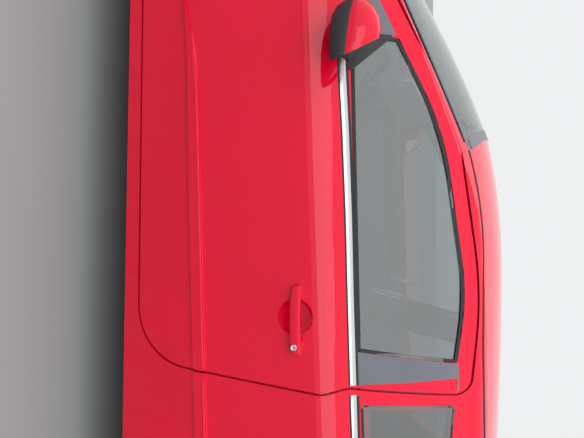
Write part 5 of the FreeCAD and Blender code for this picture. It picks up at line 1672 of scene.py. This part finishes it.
# %% [markdown]
# ## Lip of the handle's bowl
# Below the handle, the bowl in the door ends in a bright rolled lip. It is a
# thin crescent on the bowl's lower edge.

# %% Bowl lip
BOWL_MIDDLE = (0.381, 0.795)
BOWL_LIP_RADIUS = 0.0495
LIP_START, LIP_END = math.radians(205), math.radians(335)
lip_sections = []
for turn in spread(LIP_START, LIP_END, 30):
    x = BOWL_MIDDLE[0] + BOWL_LIP_RADIUS * math.cos(turn)
    z = BOWL_MIDDLE[1] + BOWL_LIP_RADIUS * 0.92 * math.sin(turn)
    fade = max(0.0, math.sin((turn - LIP_START) / (LIP_END - LIP_START) * math.pi)) ** 0.5
    y = skin_near(x + 0.004 * math.cos(turn), z + 0.004 * math.sin(turn))
    out = Vector((math.cos(turn), 0, math.sin(turn)))
    here = Vector((x, y, z))
    wide = 0.0002 + 0.0032 * fade
    lip_sections.append([here + out * wide * share + Vector((0, dy, 0)) for share, dy in (
        (0.6, 0.001), (0.0, -0.0012 * fade), (-1.0, 0.0012), (-0.5, 0.003))])
both_sides("bowl_lip", lofted(lip_sections), body_paint, "{}_door", angle=math.radians(50))

# %% [markdown]
# ## Tail and roof details
# The tail glass has its own wiper and a brake lamp under the roof's rear edge.
# The roof carries the short base of an aerial, the right rear quarter the round
# joint of the fuel flap, and the silencer ends in a polished tip.

# %% Tail and roof details
def rear_skin(y, z):
    """A point of the tail seen from behind, on the tail lid or its glass."""
    hits = [tree.ray_cast(Vector((4, y, z)), Vector((-1, 0, 0)))[0] for tree in TAIL_TREES]
    return max(hit.x for hit in hits if hit is not None)


TAIL_TREES = [node_tree_of(name) for name in ("tailgate", "tailgate_glass", "rear_bumper")]
REAR_PIVOT_Z = 1.030
# out from the glass, height
REAR_BLADE = [(0.001, -0.004), (0.013, -0.0035), (0.017, 0.0), (0.013, 0.004), (0.001, 0.003)]
blade_rows, arm_rows = [], []
for y in spread(-0.060, 0.400, 24):
    z = 1.075 + 0.006 * math.sin(y * 6)
    x = rear_skin(y, z)
    blade_rows.append([Vector((x + a, y, z + b)) for a, b in REAR_BLADE])
for share in (0.0, 0.2, 0.6, 1.0):
    y, z, half = 0.170 * share, 1.032 + 0.044 * share, 0.012 - 0.006 * share
    x = rear_skin(y, z) + 0.016
    arm_rows.append([Vector((x - 0.006, y, z - half)), Vector((x + 0.006, y, z - half * 0.6)),
                     Vector((x + 0.006, y, z + half * 0.6)), Vector((x - 0.006, y, z + half))])
rear_wiper = lofted(blade_rows)
joined(rear_wiper, lofted(arm_rows))
hub_place = Matrix.Translation((rear_skin(0.0, REAR_PIVOT_Z) + 0.009, 0.0, REAR_PIVOT_Z))
add_cone(rear_wiper, 28, 0.020, 0.015, 0.026, hub_place @ turned(90, "Y"))
soften(rear_wiper, 0.0012)
make_piece("rear_wiper", rear_wiper, black_plastic, "tailgate_lid")

BRAKE_LAMP_Z = 1.302
BRAKE_LAMP_HALF = 0.150
# out from the glass, height
BRAKE_SECTION = [(-0.003, -0.010), (0.005, -0.009), (0.007, 0.0), (0.005, 0.009), (-0.003, 0.010)]
brake_rows = []
for y in spread(-BRAKE_LAMP_HALF, BRAKE_LAMP_HALF, 16):
    x = rear_skin(y, BRAKE_LAMP_Z)
    end = 1.0 if abs(y) < 0.145 else 0.6
    brake_rows.append([Vector((x + a, y, BRAKE_LAMP_Z + b * end)) for a, b in BRAKE_SECTION])
brake_lamp = lofted(brake_rows)
soften(brake_lamp, 0.0012)
make_piece("high_brake_lamp", brake_lamp, dark_red, "tailgate_lid")

AERIAL_X = 1.380
# rise, radius
AERIAL_BASE = [(0.0, 0.021), (0.006, 0.020), (0.014, 0.011), (0.018, 0.0050), (0.040, 0.0036)]
aerial_z = skin_top(AERIAL_X, 0.0)[0].z - 0.003
aerial_rows = [ellipse(AERIAL_X + rise * 1.3, aerial_z + rise, radius * 1.5, radius, 24)
               for rise, radius in AERIAL_BASE]
make_piece("aerial_base", lofted(aerial_rows), black_plastic, "shell")

FLAP_PLACE = Vector((1.360, 0, 0.800))
FLAP_RADIUS = 0.080
flap = bmesh.new()
bmesh.ops.create_circle(flap, cap_ends=True, segments=56, radius=FLAP_RADIUS)
bmesh.ops.inset_region(flap, faces=flap.faces[:], thickness=0.0035, use_boundary=True)
bmesh.ops.delete(flap, geom=[face for face in flap.faces if len(face.verts) != 4], context="FACES")
bmesh.ops.rotate(flap, matrix=Matrix.Rotation(math.radians(90), 3, "X"), verts=flap.verts)
bmesh.ops.translate(flap, vec=FLAP_PLACE, verts=flap.verts)
settle(flap, 0.0004)
thicken(flap, 0.002)
make_piece("fuel_flap_joint", mirrored_copy(flap), rubber_and_painted_shadow, "shell")
flap.free()

# distance along the car, radius
TIP = [(0.0, 0.0235), (0.0, 0.0285), (0.004, 0.0300), (0.090, 0.0290), (0.095, 0.0270), (0.095, 0.0235)]
tip = facing(TIP, (2.094, 0.450, 0.218), backward=True, steps=48)
make_piece("exhaust_tip", tip, bright_strip, "shell", slot="exhaust_steel")
